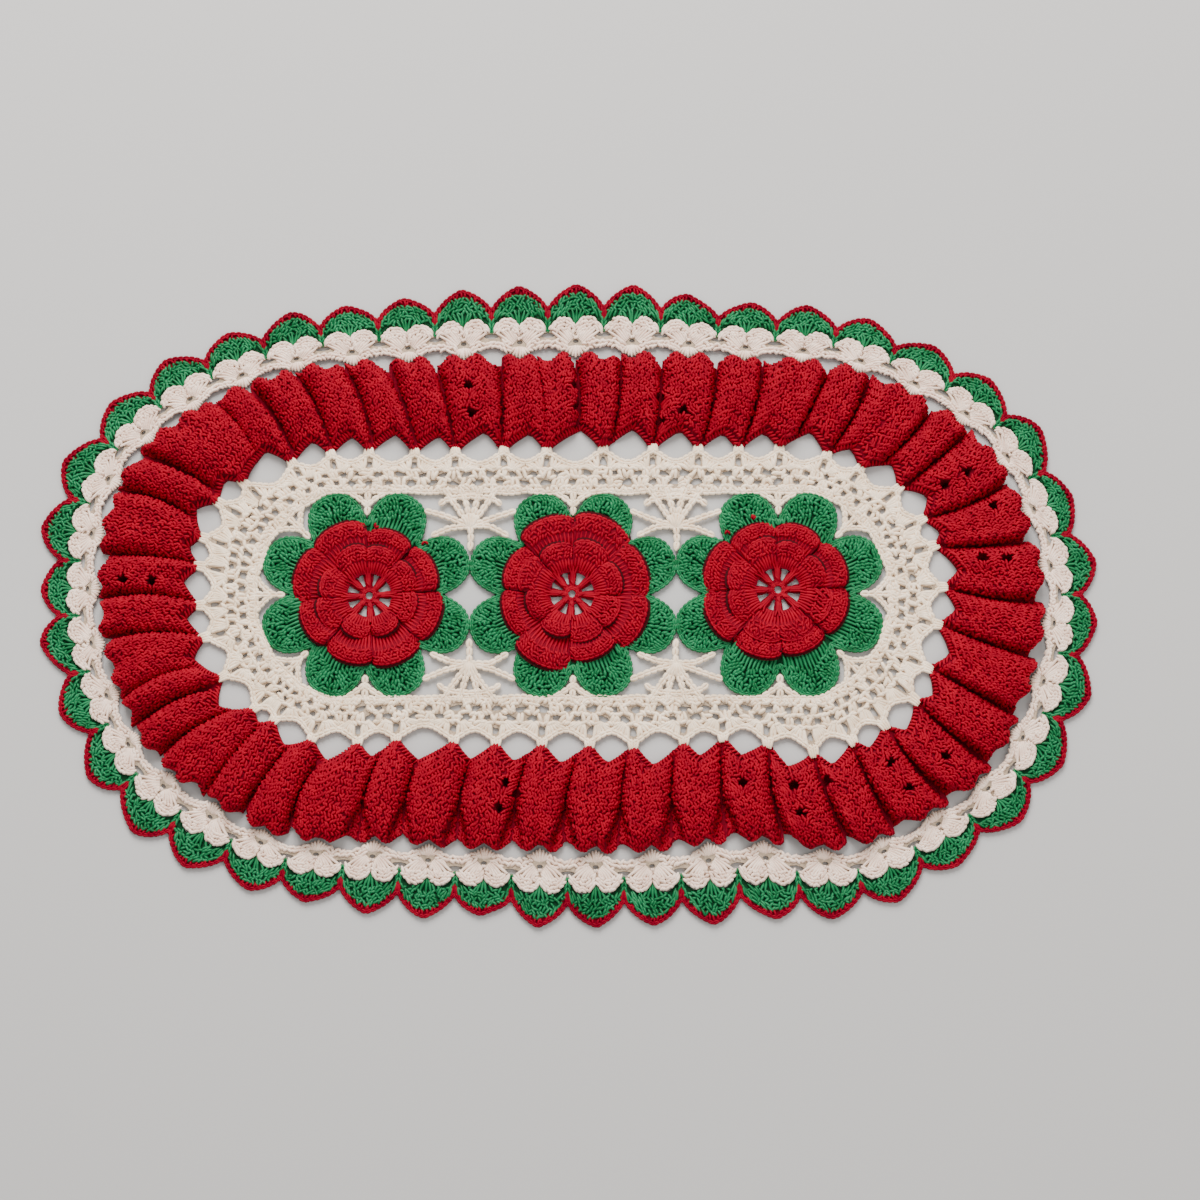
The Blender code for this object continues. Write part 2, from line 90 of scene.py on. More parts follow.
# Height of a fold's crown from the inner to the outer edge: share of the way, height
FOLD_CROWN = ((0.0, 2.4), (0.14, 5.6), (0.4, 7.6), (0.74, 8.2), (0.92, 7.2), (1.0, 5.4))
CREASE_FLOOR = 0.1              # height of a full crease's bottom, as a share of the crown
INNER_NOTCH = 6.0
NOTCH_LOW = 0.4                 # share of the way between two knots where a notch is deepest
NOTCH_TIP = 0.08                # flat part of the tip on either side of a knot
KNOT_NOTCH = 2.6                # the ruffle's outer edge draws back at a border knot
GAP_NOTCH = 3.4                 # and in the half-moon gap between two knots
CREASE_BEND = (0.4, 2.2)        # folds bow this far sideways, as one leaf lies over the next
OVER_ROUND, UNDER_ROUND = 3.2, 7.6      # width of the rise on a fold's upper and its lower side
EVEN_ROUND = 5.4                # and on both sides of one that lies over no other
LEAF_END = 3.0                  # the outer corner on the upper side is rounded off
OPEN_CREASES = (31, 38)         # folds from this to that part widely at the outer edge
OPENING, NARROW_OPENING = 8.5, 2.0      # how widely, and how far the others part

# Knots by which the ground hangs on the ruffle's inner edge, by station
KNOTS = (
    0.19, 1.20, 1.90, 2.87, 3.91, 4.76, 5.91, 6.88, 7.85, 8.94, 10.14, 11.50, 12.53, 13.70,
    14.68, 15.78, 16.70, 17.65, 18.91, 19.67, 20.60, 21.30, 22.26, 23.05, 24.20, 25.42, 25.98,
    26.97, 28.05, 28.95, 30.32, 31.32, 32.41, 33.54, 34.57, 35.77, 36.70, 37.74, 38.78, 39.71,
    40.50, 41.40, 42.20, 43.28,
)
# Chain spaces in the ruffle: x and y of each little hole
RUFFLE_HOLES = (
    (-23.0, -69.1), (-25.6, -78.7), (-19.2, -73.0), (-38.1, 82.2), (-36.9, 72.2), (3.0, 82.9),
    (3.4, 74.5), (35.1, 78.3), (35.1, 69.1), (43.7, 73.3), (-167.0, 7.5), (-156.1, 7.5),
    (150.8, 48.5), (142.1, 44.2), (160.2, 36.2), (164.7, 15.9), (156.1, 15.9), (64.8, -69.1),
    (83.7, -69.9), (86.3, -80.2), (119.9, -61.1), (126.7, -70.7), (140.2, -59.2), (96.5, -68.0),
)

# Ground and its window
GROUND_DIP = 4.4
WINDOW_X, WINDOW_Y = 1.8, 2.9
WINDOW_STRAIGHT = 77.8
WINDOW_HALF_WIDTH = 39.0
WINDOW_END_RADIUS = 41.6
GROUND_DEPTH = 18.5             # from the knots' line in to the window, nominally
BAR_TIP_RADIUS = 31.0
WEB_HEIGHT = 26.2
WEB_ARMS = ((17.0, 6.0), (14.3, -3.6))
WEB_FOOT = -8.9
WEB_SPREAD = (10.0, 3.6)

# Roses: middle x and y of the leaves, hub's offset x and y, turn in degrees, seed
Rose = namedtuple("Rose", "name x y hub_x hub_y degrees seed")
ROSES = (
    Rose("left", -76.0, 2.7, 1.2, -0.4, 4.0, 5),
    Rose("middle", 1.9, 2.6, -0.4, 0.4, -3.0, 11),
    Rose("right", 79.5, 3.0, -0.4, 1.6, 2.0, 17),
)
ROSE_LINE = 2.7
PETALS = 8
LEAF_MIDDLE_RADIUS = 27.2
LEAF_HALF_WIDTH = 10.7
LEAF_REACH = 13.8
LEAF_RING_INNER = 15.6

# Border profiles over one scallop: share of its width, height above the ruffle's edge
EDGING_OUTER = (
    (0.0, 17.9), (0.12, 21.5), (0.3, 24.8), (0.42, 26.2), (0.5, 27.0), (0.58, 26.2), (0.7, 24.8),
    (0.88, 21.5), (1.0, 17.9),
)
EDGING_INNER = (
    (0.0, 14.4), (0.12, 18.9), (0.3, 22.5), (0.42, 23.6), (0.5, 23.8), (0.58, 23.6), (0.7, 22.5),
    (0.88, 18.9), (1.0, 14.4),
)
SHELL_LOBE = ((0.0, 9.2), (0.08, 11.9), (0.2, 14.2), (0.34, 14.4), (0.44, 12.9), (0.5, 11.0))
ARCH = ((0.0, 2.6), (0.16, 2.2), (0.3, 0.9), (0.42, -0.7), (0.5, -1.5))


def clamp(value, low=0.0, high=1.0):
    return max(low, min(high, value))


def mix(a, b, share):
    return a + (b - a) * share


def ease(share):
    return share * share * (3 - 2 * share)


def direction(angle):
    return Vector((cos(angle), sin(angle), 0.0))


def square_to(along):
    """The level direction square to another, to its left and as long."""
    return Vector((-along.y, along.x, 0.0))


def polar_point(middle, angle, radius, z):
    return middle + Vector((radius * cos(angle), radius * sin(angle), z))


def circle(middle, radius, steps):
    return [polar_point(middle, 2 * pi * n / steps, radius, 0.0) for n in range(steps)]


def curve_through(rows, share):
    """Smooth value through rows of share and value."""
    share = clamp(share, rows[0][0], rows[-1][0])
    i = min(max(j for j, row in enumerate(rows) if row[0] <= share), len(rows) - 2)
    before, (x1, y1), (x2, y2) = rows[max(i - 1, 0)], rows[i], rows[i + 1]
    after = rows[min(i + 2, len(rows) - 1)]
    slope1 = (y2 - before[1]) / (x2 - before[0])
    slope2 = (after[1] - y1) / (after[0] - x1)
    t, step = (share - x1) / (x2 - x1), x2 - x1
    return ((2 * t ** 3 - 3 * t ** 2 + 1) * y1 + (t ** 3 - 2 * t ** 2 + t) * step * slope1
            + (3 * t ** 2 - 2 * t ** 3) * y2 + (t ** 3 - t ** 2) * step * slope2)


def signed_power(value, power):
    return abs(value) ** power * (1 if value >= 0 else -1)


class RingLine:
    """An oval line whose points are found by station, measured along its length."""

    def __init__(self, line):
        self.line = line
        half_length, half_width, squareness, middle_x, middle_y = line
        power = 2.0 / squareness
        self.points = []
        for i in range(LINE_STEPS + 1):
            angle = 2 * pi * i / LINE_STEPS
            x = signed_power(cos(angle), power) * half_length
            y = signed_power(sin(angle), power) * half_width
            self.points.append((middle_x + x, middle_y + y))
        self.lengths = [0.0]
        for (x0, y0), (x1, y1) in zip(self.points, self.points[1:]):
            self.lengths.append(self.lengths[-1] + hypot(x1 - x0, y1 - y0))

    def at(self, station):
        along = (station % SCALLOPS) / SCALLOPS * self.lengths[-1]
        i = min(bisect_right(self.lengths, along) - 1, LINE_STEPS - 1)
        share = (along - self.lengths[i]) / (self.lengths[i + 1] - self.lengths[i])
        (x0, y0), (x1, y1) = self.points[i], self.points[i + 1]
        return Vector((x0 + (x1 - x0) * share, y0 + (y1 - y0) * share, 0.0))

    def outward(self, station):
        half_length, half_width, squareness, middle_x, middle_y = self.line
        point = self.at(station)
        x, y = (point.x - middle_x) / half_length, (point.y - middle_y) / half_width
        slope_x = signed_power(x, squareness - 1) / half_length
        slope_y = signed_power(y, squareness - 1) / half_width
        return Vector((slope_x, slope_y, 0.0)).normalized()


OUTER = RingLine(RUFFLE_OUTER_LINE)
INNER = RingLine(RUFFLE_INNER_LINE)
STATION_LENGTH = OUTER.lengths[-1] / SCALLOPS


def smooth_table(rows, station, column):
    """Value of a column of a table whose first column is the station, eased between rows."""
    station %= SCALLOPS
    for i, row in enumerate(rows):
        after = rows[(i + 1) % len(rows)]
        start, end = row[0], after[0] if after[0] > row[0] else after[0] + SCALLOPS
        if start <= station < end:
            return mix(row[column], after[column], ease((station - start) / (end - start)))
    return rows[0][column]


def tip_distance(station):
    """Distance from the ruffle's outer line to the scallops' tips, square to the line."""
    half_length, half_width, squareness, middle_x, middle_y = SCALLOP_TIP_LINE
    point, outward = OUTER.at(station), OUTER.outward(station)
    near, far = 0.0, 60.0
    for _ in range(20):
        middle = (near + far) / 2
        x = abs(point.x + outward.x * middle - middle_x) / half_length
        y = abs(point.y + outward.y * middle - middle_y) / half_width
        if x ** squareness + y ** squareness < 1:
            near = middle
        else:
            far = middle
    return near


TIPS_A_STATION = 10             # samples kept for each station
TIPS = [tip_distance(i / TIPS_A_STATION) for i in range(SCALLOPS * TIPS_A_STATION)]


def tips_at(station):
    place = (station % SCALLOPS) * TIPS_A_STATION
    i = floor(place)
    return mix(TIPS[i % len(TIPS)], TIPS[(i + 1) % len(TIPS)], place - i)


def border_point(station, height, z=0.0):
    """Point at a nominal height above the ruffle's edge, from 0 to BORDER_DEPTH."""
    ruffle = smooth_table(STRAY, station, 2)
    tips = tips_at(station) + smooth_table(STRAY, station, 1)
    offset = ruffle + height * (tips - ruffle) / BORDER_DEPTH
    point = OUTER.at(station) + OUTER.outward(station) * offset
    point.z = z
    return point


def inner_point(station, outer_station, offset, z=0.0):
    """Point at an offset outwards from the ruffle's inner edge."""
    stray = smooth_table(STRAY, outer_station, 2)
    point = INNER.at(station) + INNER.outward(station) * (offset + stray)
    point.z = z
    return point


def scallop_start(k):
    """Station of the valley before scallop k."""
    return k + 0.19 + 0.21 * sin(2 * pi * (k - 4) / SCALLOPS)


def fold_ends(i):
    """Rows of a fold and of the next one, with the next one's stations always ahead."""
    row = FOLDS[i % len(FOLDS)]
    after = FOLDS[(i + 1) % len(FOLDS)]
    turn = SCALLOPS if i % len(FOLDS) == len(FOLDS) - 1 else 0
    return row, (after[0] + turn, after[1] + turn, after[2])


# ---------------------------------------------------------------- yarn

STRAND = 0.52                   # radius of a strand of the thread where it is fullest
SHEET_BOTTOM, SHEET_TOP = 0.15, 1.25    # faces of the thin cloth under flat stitches
LAY = 1.45                      # height of the middle of a strand on it
# A stitch from end to end: share of its length, and how far it stands proud of the cloth
STITCH_SECTION = ((-0.5, -0.4), (-0.2, 0.2), (0.2, 0.2), (0.5, -0.4))

# One colour of cotton: its slot in the record, the thread's material and the inside's, which is
# the same cotton painted darker: painted shade of the gaps between strands
Cotton = namedtuple("Cotton", "slot thread inside")


class Yarn:
    """Strands of one piece: each is a list of points and the radius at each of them."""

    def __init__(self, seed):
        self.strands = []
        self.chance = random.Random(seed)

    def stray(self, reach):
        return self.chance.uniform(-reach, reach)

    def strand(self, points, thick=1.0, ends=0.62):
        """A strand through the points, none of which sinks into the table. Its thickness and
        that of its ends are shares of the thread's."""
        last, radius = len(points) - 1, STRAND * thick
        points = [Vector((point.x, point.y, max(point.z, radius))) for point in points]
        radii = [radius * (ends if i in (0, last) else 1.0) for i in range(len(points))]
        self.strands.append((points, radii))

    def bow(self, start, end, rise=0.3, bend=0.0, thick=1.0, ends=0.62):
        """A short strand that dips into the cloth at both ends."""
        along = end - start
        side = square_to(along).normalized() * bend
        up = Vector((0.0, 0.0, rise))
        self.strand([start - up, start + along * 0.28 + side + up * 0.7,
                     start + along * 0.72 + side + up * 0.7, end - up], thick, ends)

    def stitch(self, place, u, v, turn, length, thick):
        """A short strand on a surface, turned from the line along which v grows."""
        self.strand([place(u + t * length * sin(turn), v + t * length * cos(turn), lift)
                     for t, lift in STITCH_SECTION], thick)

    def lean(self, degrees, flat=0.2):
        """A random slant to either side, or now and then one that lies across."""
        if self.chance.random() < flat:
            return radians(self.chance.uniform(68, 112))
        hand = 1 if self.chance.random() < 0.5 else -1
        return radians((degrees + self.stray(16)) * hand)

    def row(self, place, v, low, high, pitch, length, degrees, thick=1.0):
        """A row of short slanted strands, as crochet shows between two rows of posts."""
        count = max(1, round((high - low) / pitch))
        for n in range(count):
            u = mix(low, high, (n + 0.5 + self.stray(0.25)) / count)
            self.stitch(place, u, v + self.stray(0.25), self.lean(degrees),
                        length * self.chance.uniform(0.85, 1.15), thick)

    def chain(self, path, pitch, width, thick=1.0):
        """Chain stitches along a path: each link is two strands that part and meet again."""
        knots = resample(path, max(1, round(path_length(path) / pitch)))
        up = Vector((0.0, 0.0, 0.2))
        for start, end in zip(knots, knots[1:]):
            along = end - start
            side = square_to(along).normalized() * width * 0.5
            for hand in (1, -1):
                lean = self.chance.uniform(0.85, 1.15) * hand
                self.strand([start - along * 0.12 + side * 0.25 * hand - up,
                             start + along * 0.3 + side * lean + up,
                             start + along * 0.75 + side * lean * 0.85 + up,
                             end + along * 0.12 + side * 0.1 * hand - up * 0.5], thick)


def resample(path, count):
    """The points that part a path into a number of equal steps."""
    lengths = [0.0]
    for a, b in zip(path, path[1:]):
        lengths.append(lengths[-1] + (b - a).length)
    points, j = [], 0
    for i in range(count + 1):
        along = lengths[-1] * i / count
        while j < len(path) - 2 and lengths[j + 1] < along:
            j += 1
        share = (along - lengths[j]) / max(lengths[j + 1] - lengths[j], 1e-9)
        points.append(path[j].lerp(path[j + 1], clamp(share)))
    return points


def path_length(path):
    return sum((b - a).length for a, b in zip(path, path[1:]))


def linked_object(name, data):
    linked = bpy.data.objects.new(name, data)
    bpy.context.scene.collection.objects.link(linked)
    return linked


def finished_mesh(name, build):
    """A mesh from a bmesh, which is freed."""
    mesh = bpy.data.meshes.new(name)
    build.to_mesh(mesh)
    build.free()
    return mesh


def finished_piece(name, data, material, slot):
    piece = linked_object(name, data)
    data.materials.append(material)
    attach(piece, "root")
    return piece


def outline_curve(name, flat):
    """An empty curve, either a flat one to be filled or one whose splines become strands."""
    data = bpy.data.curves.new(name, "CURVE")
    data.dimensions = "2D" if flat else "3D"
    return data


def add_spline(data, places):
    spline = data.splines.new("POLY")
    spline.points.add(len(places) - 1)
    for knot, place in zip(spline.points, places):
        knot.co = (*place, 1.0)
    return spline


def yarn_piece(name, yarn, cotton):
    """A curve object of all the strands, bevelled to their radii."""
    data = outline_curve(name, False)
    data.bevel_depth = MM
    data.bevel_resolution = 0
    data.resolution_u = 1
    for points, radii in yarn.strands:
        spline = add_spline(data, [(point - MIDDLE) * MM for point in points])
        for knot, radius in zip(spline.points, radii):
            knot.radius = radius
    return finished_piece(name, data, cotton.thread, cotton.slot)


def flat_cloth(name, outlines, cotton, bottom=SHEET_BOTTOM, top=SHEET_TOP):
    """A thin flat cloth from closed outlines: the first is its rim, the others its holes."""
    data = outline_curve(name, True)
    data.fill_mode = "BOTH"
    data.extrude = (top - bottom) / 2 * MM
    for outline in outlines:
        places = [((point.x - MIDDLE.x) * MM, (point.y - MIDDLE.y) * MM, 0.0)
                  for point in outline]
        add_spline(data, places).use_cyclic_u = True
    flat = linked_object(name + "_outline", data)
    graph = bpy.context.evaluated_depsgraph_get()
    mesh = bpy.data.meshes.new_from_object(flat.evaluated_get(graph))
    bpy.data.objects.remove(flat, do_unlink=True)
    build = bmesh.new()
    build.from_mesh(mesh)
    bmesh.ops.remove_doubles(build, verts=build.verts, dist=1e-6)
    bmesh.ops.translate(build, verts=build.verts, vec=(0.0, 0.0, (top + bottom) / 2 * MM))
    bmesh.ops.recalc_face_normals(build, faces=build.faces)
    build.to_mesh(mesh)
    build.free()
    mesh.name = name
    # the cloth wears the inside's material: painted shade of the gaps between strands
    return finished_piece(name, mesh, cotton.inside, cotton.slot)


def cloth_area(piece):
    """Area in square metres of one face of a thin cloth."""
    return sum(face.area for face in piece.data.polygons) / 2


def finish_ring(name, solid, cloth, yarn, cotton, middle_line):
    stitches = yarn_piece(name + "_stitches", yarn, cotton)
    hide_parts(solid)
    length = path_length(middle_line) * MM
    cloth_area(cloth)


# ---------------------------------------------------------------- materials

SHADE_SCALE = 260.0             # the dye's shade drifts over patches of about 4 mm
GRAIN_SCALE = 900.0             # backs of stitches and loose fibres, about 1 mm across
PLY_SCALE = 0.9                 # on a strand's own UV: a turn of the plies in some 1.7 mm
PLY_DEPTH, GRAIN_DEPTH = 0.0002, 0.0004         # of the bumps, in metres


def linear(colour):
    """A hex sRGB colour as linear red, green, blue and alpha."""
    parts = [int(colour[i:i + 2], 16) / 255 for i in (1, 3, 5)]
    return (*[c / 12.92 if c <= 0.04045 else ((c + 0.055) / 1.055) ** 2.4 for c in parts], 1.0)


def add_node(tree, kind, settings=None, **links_in):
    """Adds a node, sets its fields and inputs, and links its inputs from other sockets."""
    node = tree.nodes.new(kind)
    for key, value in (settings or {}).items():
        if hasattr(node, key):
            setattr(node, key, value)
        else:
            node.inputs[key].default_value = value
    for key, socket in links_in.items():
        tree.links.new(socket, node.inputs[key])
    return node


def set_shader(material, **settings):
    """Turns a material's nodes on, sets its shader's sockets and gives its tree and shader."""
    material.use_nodes = True
    shader = material.node_tree.nodes["Principled BSDF"]
    for name, value in settings.items():
        shader.inputs[name.replace("_", " ")].default_value = value
    return material.node_tree, shader


def shade(tree, shader, noise_settings, dark, light):
    """Colours a shader by a noise on the piece, each end given by its place and colour."""
    place = add_node(tree, "ShaderNodeTexCoord")
    pattern = add_node(tree, "ShaderNodeTexNoise", noise_settings, Vector=place.outputs["Object"])
    ramp = add_node(tree, "ShaderNodeValToRGB", Fac=pattern.outputs["Fac"])
    for end, (position, colour) in zip(ramp.color_ramp.elements, (dark, light)):
        end.position = position
        end.color = colour
    tree.links.new(ramp.outputs["Color"], shader.inputs["Base Color"])
    return place, pattern


def raise_bumps(tree, shader, pattern, strength, distance):
    bump = add_node(tree, "ShaderNodeBump", {"Strength": strength, "Distance": distance},
                    Height=pattern.outputs["Fac"])
    tree.links.new(bump.outputs["Normal"], shader.inputs["Normal"])


def cotton_thread(name, light, dark, roughness, sheen, gloss=0.15):
    """Mercerised cotton thread, two-ply: a soft gloss along each strand, fine slanting plies
    and a slow change of shade from stitch to stitch."""
    material = bpy.data.materials.new(name)
    tree, shader = set_shader(material, Roughness=roughness, Sheen_Weight=sheen,
                              Sheen_Roughness=0.4, Specular_IOR_Level=gloss)
    place, _ = shade(tree, shader, {"Scale": SHADE_SCALE, "Detail": 2.0},
                     (0.32, linear(dark)), (0.66, linear(light)))
    plies = add_node(tree, "ShaderNodeTexWave",
                     {"bands_direction": "DIAGONAL", "Scale": PLY_SCALE, "Distortion": 0.4},
                     Vector=place.outputs["UV"])
    raise_bumps(tree, shader, plies, 0.35, PLY_DEPTH)
    return material


def painted_shade_cloth(name, colour):
    """The inside of the crochet, seen between strands: the same cotton painted darker, as painted
    shade of the deep gaps between strands, matt and rough with the backs of the stitches."""
    material = bpy.data.materials.new(name)
    tree, shader = set_shader(material, Roughness=0.95, Specular_IOR_Level=0.1)
    deepest = tuple(c * 0.6 for c in linear(colour)[:3]) + (1.0,)
    _, grain = shade(tree, shader, {"Scale": GRAIN_SCALE, "Detail": 3.0},
                     (0.3, deepest), (0.7, linear(colour)))
    raise_bumps(tree, shader, grain, 0.6, GRAIN_DEPTH)
    return material


# ---------------------------------------------------------------- border

EDGE_STITCHES = 15              # of the edging over one scallop
FAN_MIDDLE = 10.2               # height of a fan's middle, in the notch of the shells
FAN_POSTS = 11
FAN_POST_TOP = 7.4              # how far the posts reach from the fan's middle
# Rows of stitches over the posts: depth below the fan's rim, share of its width
FAN_ROWS = ((0.6, 0.93), (1.9, 0.9), (3.4, 0.8), (4.9, 0.66), (6.2, 0.48))
SHELL_MIDDLE = 5.0              # height of a shell's little hole
SHELL_HOLE = (1.2, 0.8)         # its half width and half height
VALLEY_GAP = (7.6, 3.1, 1.1)    # gap under each valley: height, half width and half height
SHELL_POSTS = 7                 # posts in each of a shell's two lobes
# Rows on a lobe: depth below its rim, start and end from the middle line, slant in degrees.
# The start is in millimetres and the end in widths of the scallop.
SHELL_ROWS = ((0.8, 0.3, 0.46, 58), (2.1, 0.3, 0.45, 58), (3.4, 0.4, 0.4, 42),
              (4.6, 0.7, 0.33, 34))
# Rows on the arch: height above its lower edge, start and end as above
ARCH_ROWS = ((0.8, 3.6, 0.5), (2.3, 2.9, 0.5), (3.8, 2.9, 0.33))


class Scallop:
    """One scallop of the border, with its own width in millimetres and a shape a little uneven."""

    def __init__(self, k):
        self.start, self.end = scallop_start(k), scallop_start(k + 1)
        self.width = (border_point(self.end, 14.0) - border_point(self.start, 14.0)).length
        chance = random.Random(k)
        self.lift, self.skew = chance.uniform(-1.1, 1.1), chance.uniform(-0.06, 0.06)

    def at(self, share, height, z=LAY):
        """Point at a share of the width; the outer half strays a little from the even scallop."""
        outer = clamp((height - 12.0) / 12.0) * sin(pi * clamp(share))
        share += self.skew * outer
        return border_point(mix(self.start, self.end, share), height + self.lift * outer, z)

    def share(self, across):
        """Share of the width at a distance across from the scallop's middle line."""
        return 0.5 + across / self.width

    def across(self, across, height, z=LAY):
        return self.at(self.share(across), height, z)


def nearer_end(share):
    return share if share <= 0.5 else 1 - share


def lobe(share):
    """Height of the shells' outline: two lobes over one scallop."""
    return curve_through(SHELL_LOBE, nearer_end(share))


def arch(share):
    return curve_through(ARCH, nearer_end(share))


def edging_outer(share):
    return curve_through(EDGING_OUTER, share)


def edging_inner(share):
    return curve_through(EDGING_INNER, share)


def ring_outline(profile, steps, lift=0.0):
    """Closed outline round all scallops from a profile of share to height."""
    points = []
    for k in range(SCALLOPS):
        scallop = Scallop(k)
        points += [scallop.at(i / steps, profile(i / steps) + lift) for i in range(steps)]
    return points


def contour(scallop, profile, rise=0.0):
    """Surface function of one scallop: u from its middle, v the depth below the profile."""
    def place(u, v, lift=0.0):
        return scallop.across(u, profile(clamp(scallop.share(u))) - v, LAY + rise + lift)
    return place


def make_edging(red):
    cloth = flat_cloth("edging_cloth", [ring_outline(edging_outer, 16, -0.6),
                                        ring_outline(edging_inner, 16, -1.2)], red, top=1.0)
    yarn = Yarn(31)
    for k in range(SCALLOPS):
        scallop = Scallop(k)
        place = contour(scallop, edging_outer)
        half = scallop.width / 2
        rope = [place(half * n / 8, 0.45) for n in range(-8, 9)]
        yarn.chain(rope, 2.1, 0.75, 0.9)
        for n in range(EDGE_STITCHES):
            u = mix(-half, half, (n + 0.5 + yarn.stray(0.2)) / EDGE_STITCHES)
            low = edging_outer(scallop.share(u)) - edging_inner(scallop.share(u))
            tip = low + yarn.chance.uniform(-0.6, 0.7)
            yarn.bow(place(u, 0.9), place(u + yarn.stray(0.9), max(tip, 2.2)))
        for across in (-0.8, 0.0, 0.8):
            yarn.bow(place(across - half, 0.2), place(across * 0.6 - half, 5.0, -0.2))
    finish_ring("edging", "edging", cloth, yarn, red, ring_outline(edging_outer, 16, -1.5))


def fan_reach(angle, width):
    """Length of a ray from a fan's middle to just inside its rim."""
    length = 0.0
    while length < 18.0:
        length += 0.25
        share = 0.5 + length * sin(angle) / width
        height = FAN_MIDDLE + length * cos(angle)
        if not 0.0 < share < 1.0 or height > edging_inner(share) - 0.3:
            break
    return length


def make_fans(green):
    cloth = flat_cloth("fan_cloth", [ring_outline(edging_inner, 16, -0.3),
                                     ring_outline(lobe, 20, 0.25)], green, top=0.95)
    yarn = Yarn(32)
    for k in range(SCALLOPS):
        scallop = Scallop(k)
        place = contour(scallop, edging_inner)

        def polar(angle, reach, z=LAY):
            return scallop.across(reach * sin(angle), FAN_MIDDLE + reach * cos(angle), z)

        for i in range(FAN_POSTS):
            angle = radians(mix(-72, 72, i / (FAN_POSTS - 1)) + yarn.stray(3))
            far = fan_reach(angle, scallop.width)
            near = 0.6
            while near < far and FAN_MIDDLE + near * cos(angle) < 0.1 + lobe(
                    scallop.share(near * sin(angle))):
                near += 0.25
            top = min(far - 3.4, FAN_POST_TOP)
            if top - near > 1.0:
                middle = polar(angle + yarn.stray(0.03), mix(near, top, 0.5), LAY + 0.35)
                yarn.strand([polar(angle, near, LAY - 0.2), middle,
                             polar(angle, top, LAY + 0.2)], 1.15)
        for v, reach in FAN_ROWS:
            half = scallop.width / 2 * reach
            yarn.row(place, v, -half, half, 1.45, 2.4, 34, 1.02)
        side = -scallop.width / 2
        for height in (9.8, 11.6, 13.4):
            for hand in (1, -1):
                yarn.bow(scallop.across(side + hand * 0.2, height - 1.2),
                         scallop.across(side + hand * 1.0, height + 1.4))
    finish_ring("fan", "fans", cloth, yarn, green, ring_outline(edging_inner, 16, -4.0))


def hole_outline(centre_at, width, height, steps=8, corner=None):
    """Outline of a rounded hole; centre_at turns across and up into a point. With a corner's
    angle the hole is drawn to three soft corners."""
    points = []
    for i in range(steps):
        angle = 2 * pi * i / steps
        reach = 1.0 if corner is None else 1 + 0.22 * cos(3 * (angle - corner))
        points.append(centre_at(width * reach * cos(angle), height * reach * sin(angle)))
    return points


def make_border(ecru):
    outlines = [ring_outline(lobe, 20, -0.4), ring_outline(arch, 12, 0.5)]
    yarn = Yarn(33)
    for k in range(SCALLOPS):
        scallop = Scallop(k)
        local, width = scallop.across, scallop.width
        gap_height, *gap_size = VALLEY_GAP
        outlines.append(hole_outline(lambda a, b: local(a, SHELL_MIDDLE + b), *SHELL_HOLE))
        outlines.append(hole_outline(lambda a, b: local(a - width / 2, gap_height + b),
                                     *gap_size))
        place = contour(scallop, lobe, 0.6)

        def on_arch(u, v, lift=0.0):
            return local(u, arch(clamp(scallop.share(u))) + v, LAY + 0.3 + lift)

        for hand in (1, -1):
            for n in range(SHELL_POSTS):
                spread = n / (SHELL_POSTS - 1)
                share = mix(0.02, 0.42, spread) + yarn.stray(0.008)
                foot = local(hand * (0.3 + 0.4 * n), SHELL_MIDDLE + 1.9 - 0.45 * n, LAY + 0.1)
                head = scallop.at(0.5 + hand * share, lobe(0.5 - share) - 5.7 + 2.5 * spread,
                                  LAY + 0.6)
                bend = Vector((yarn.stray(0.2), yarn.stray(0.2), 0.4))
                yarn.strand([foot, foot.lerp(head, 0.5) + bend, head], 1.25)
            for v, near, far, slant in SHELL_ROWS:
                ends = sorted((near * hand, far * width * hand))
                yarn.row(place, v, *ends, 1.2, 1.9, slant, 1.2)
            for v, near, far in ARCH_ROWS:
                ends = sorted((near * hand, far * width * hand))
                yarn.row(on_arch, v, *ends, 1.35, 2.3, 50, 1.2)
        for lean in (-3, -2, -1, 0, 1, 2, 3):
            edge = arch(clamp(0.5 + lean * 1.25 / width)) + 0.2
            yarn.bow(local(lean * 1.25, edge, LAY + 0.3),
                     local(lean * 0.5, 3.6 - 0.15 * abs(lean)),
                     bend=yarn.stray(0.2), thick=1.2)
    cloth = flat_cloth("border_cloth", outlines, ecru, top=1.55)
    finish_ring("border", "border", cloth, yarn, ecru, ring_outline(lobe, 20, -5.0))


# ---------------------------------------------------------------- ruffle

SCALLOP_STARTS = sorted(scallop_start(k) % SCALLOPS for k in range(SCALLOPS))
FOLD_STARTS = [row[1] for row in FOLDS]
CREASE_BENDS = [random.Random(900 + i).uniform(*CREASE_BEND) for i in range(len(FOLDS))]
RUFFLE_ROW = 1.5                # height of a row of stitches across the ring
RUFFLE_STITCH = 1.22            # width of one leg of a stitch
RUFFLE_SECTION = ((-0.5, -0.35), (0.0, 0.25), (0.5, -0.35))     # as STITCH_SECTION
CREASE_GAP = 0.75               # bare strip on either side of a full crease
FOLD_RISE = 5.0                 # a fold's face is this much wider than the fold is in plan
RUFFLE_POST, POST_WIDTH = 3.1, 1.15     # of the first row's posts, square to the inner edge
EDGE_HEIGHT = 2.3               # a fold's outer end lies no lower than this
UNEVEN = 0.8                    # slow rise and fall of a fold, in waves of about 10 mm
CLEAR_OF_HOLE = 1.9             # no stitch is worked nearer than this to a little hole's middle
ROUND_HOLE = 4.2                # and up to here they point away from it
HOLE_RADIUS, HOLE_DEPTH = 2.2, 6.0
UNDER_STITCHES, CLOTH_THICK = 0.5, 1.6  # the cloth's depth under its stitches, its thickness
RUFFLE_GRID = (14, 22)          # columns of a fold, rows from the inner to the outer edge
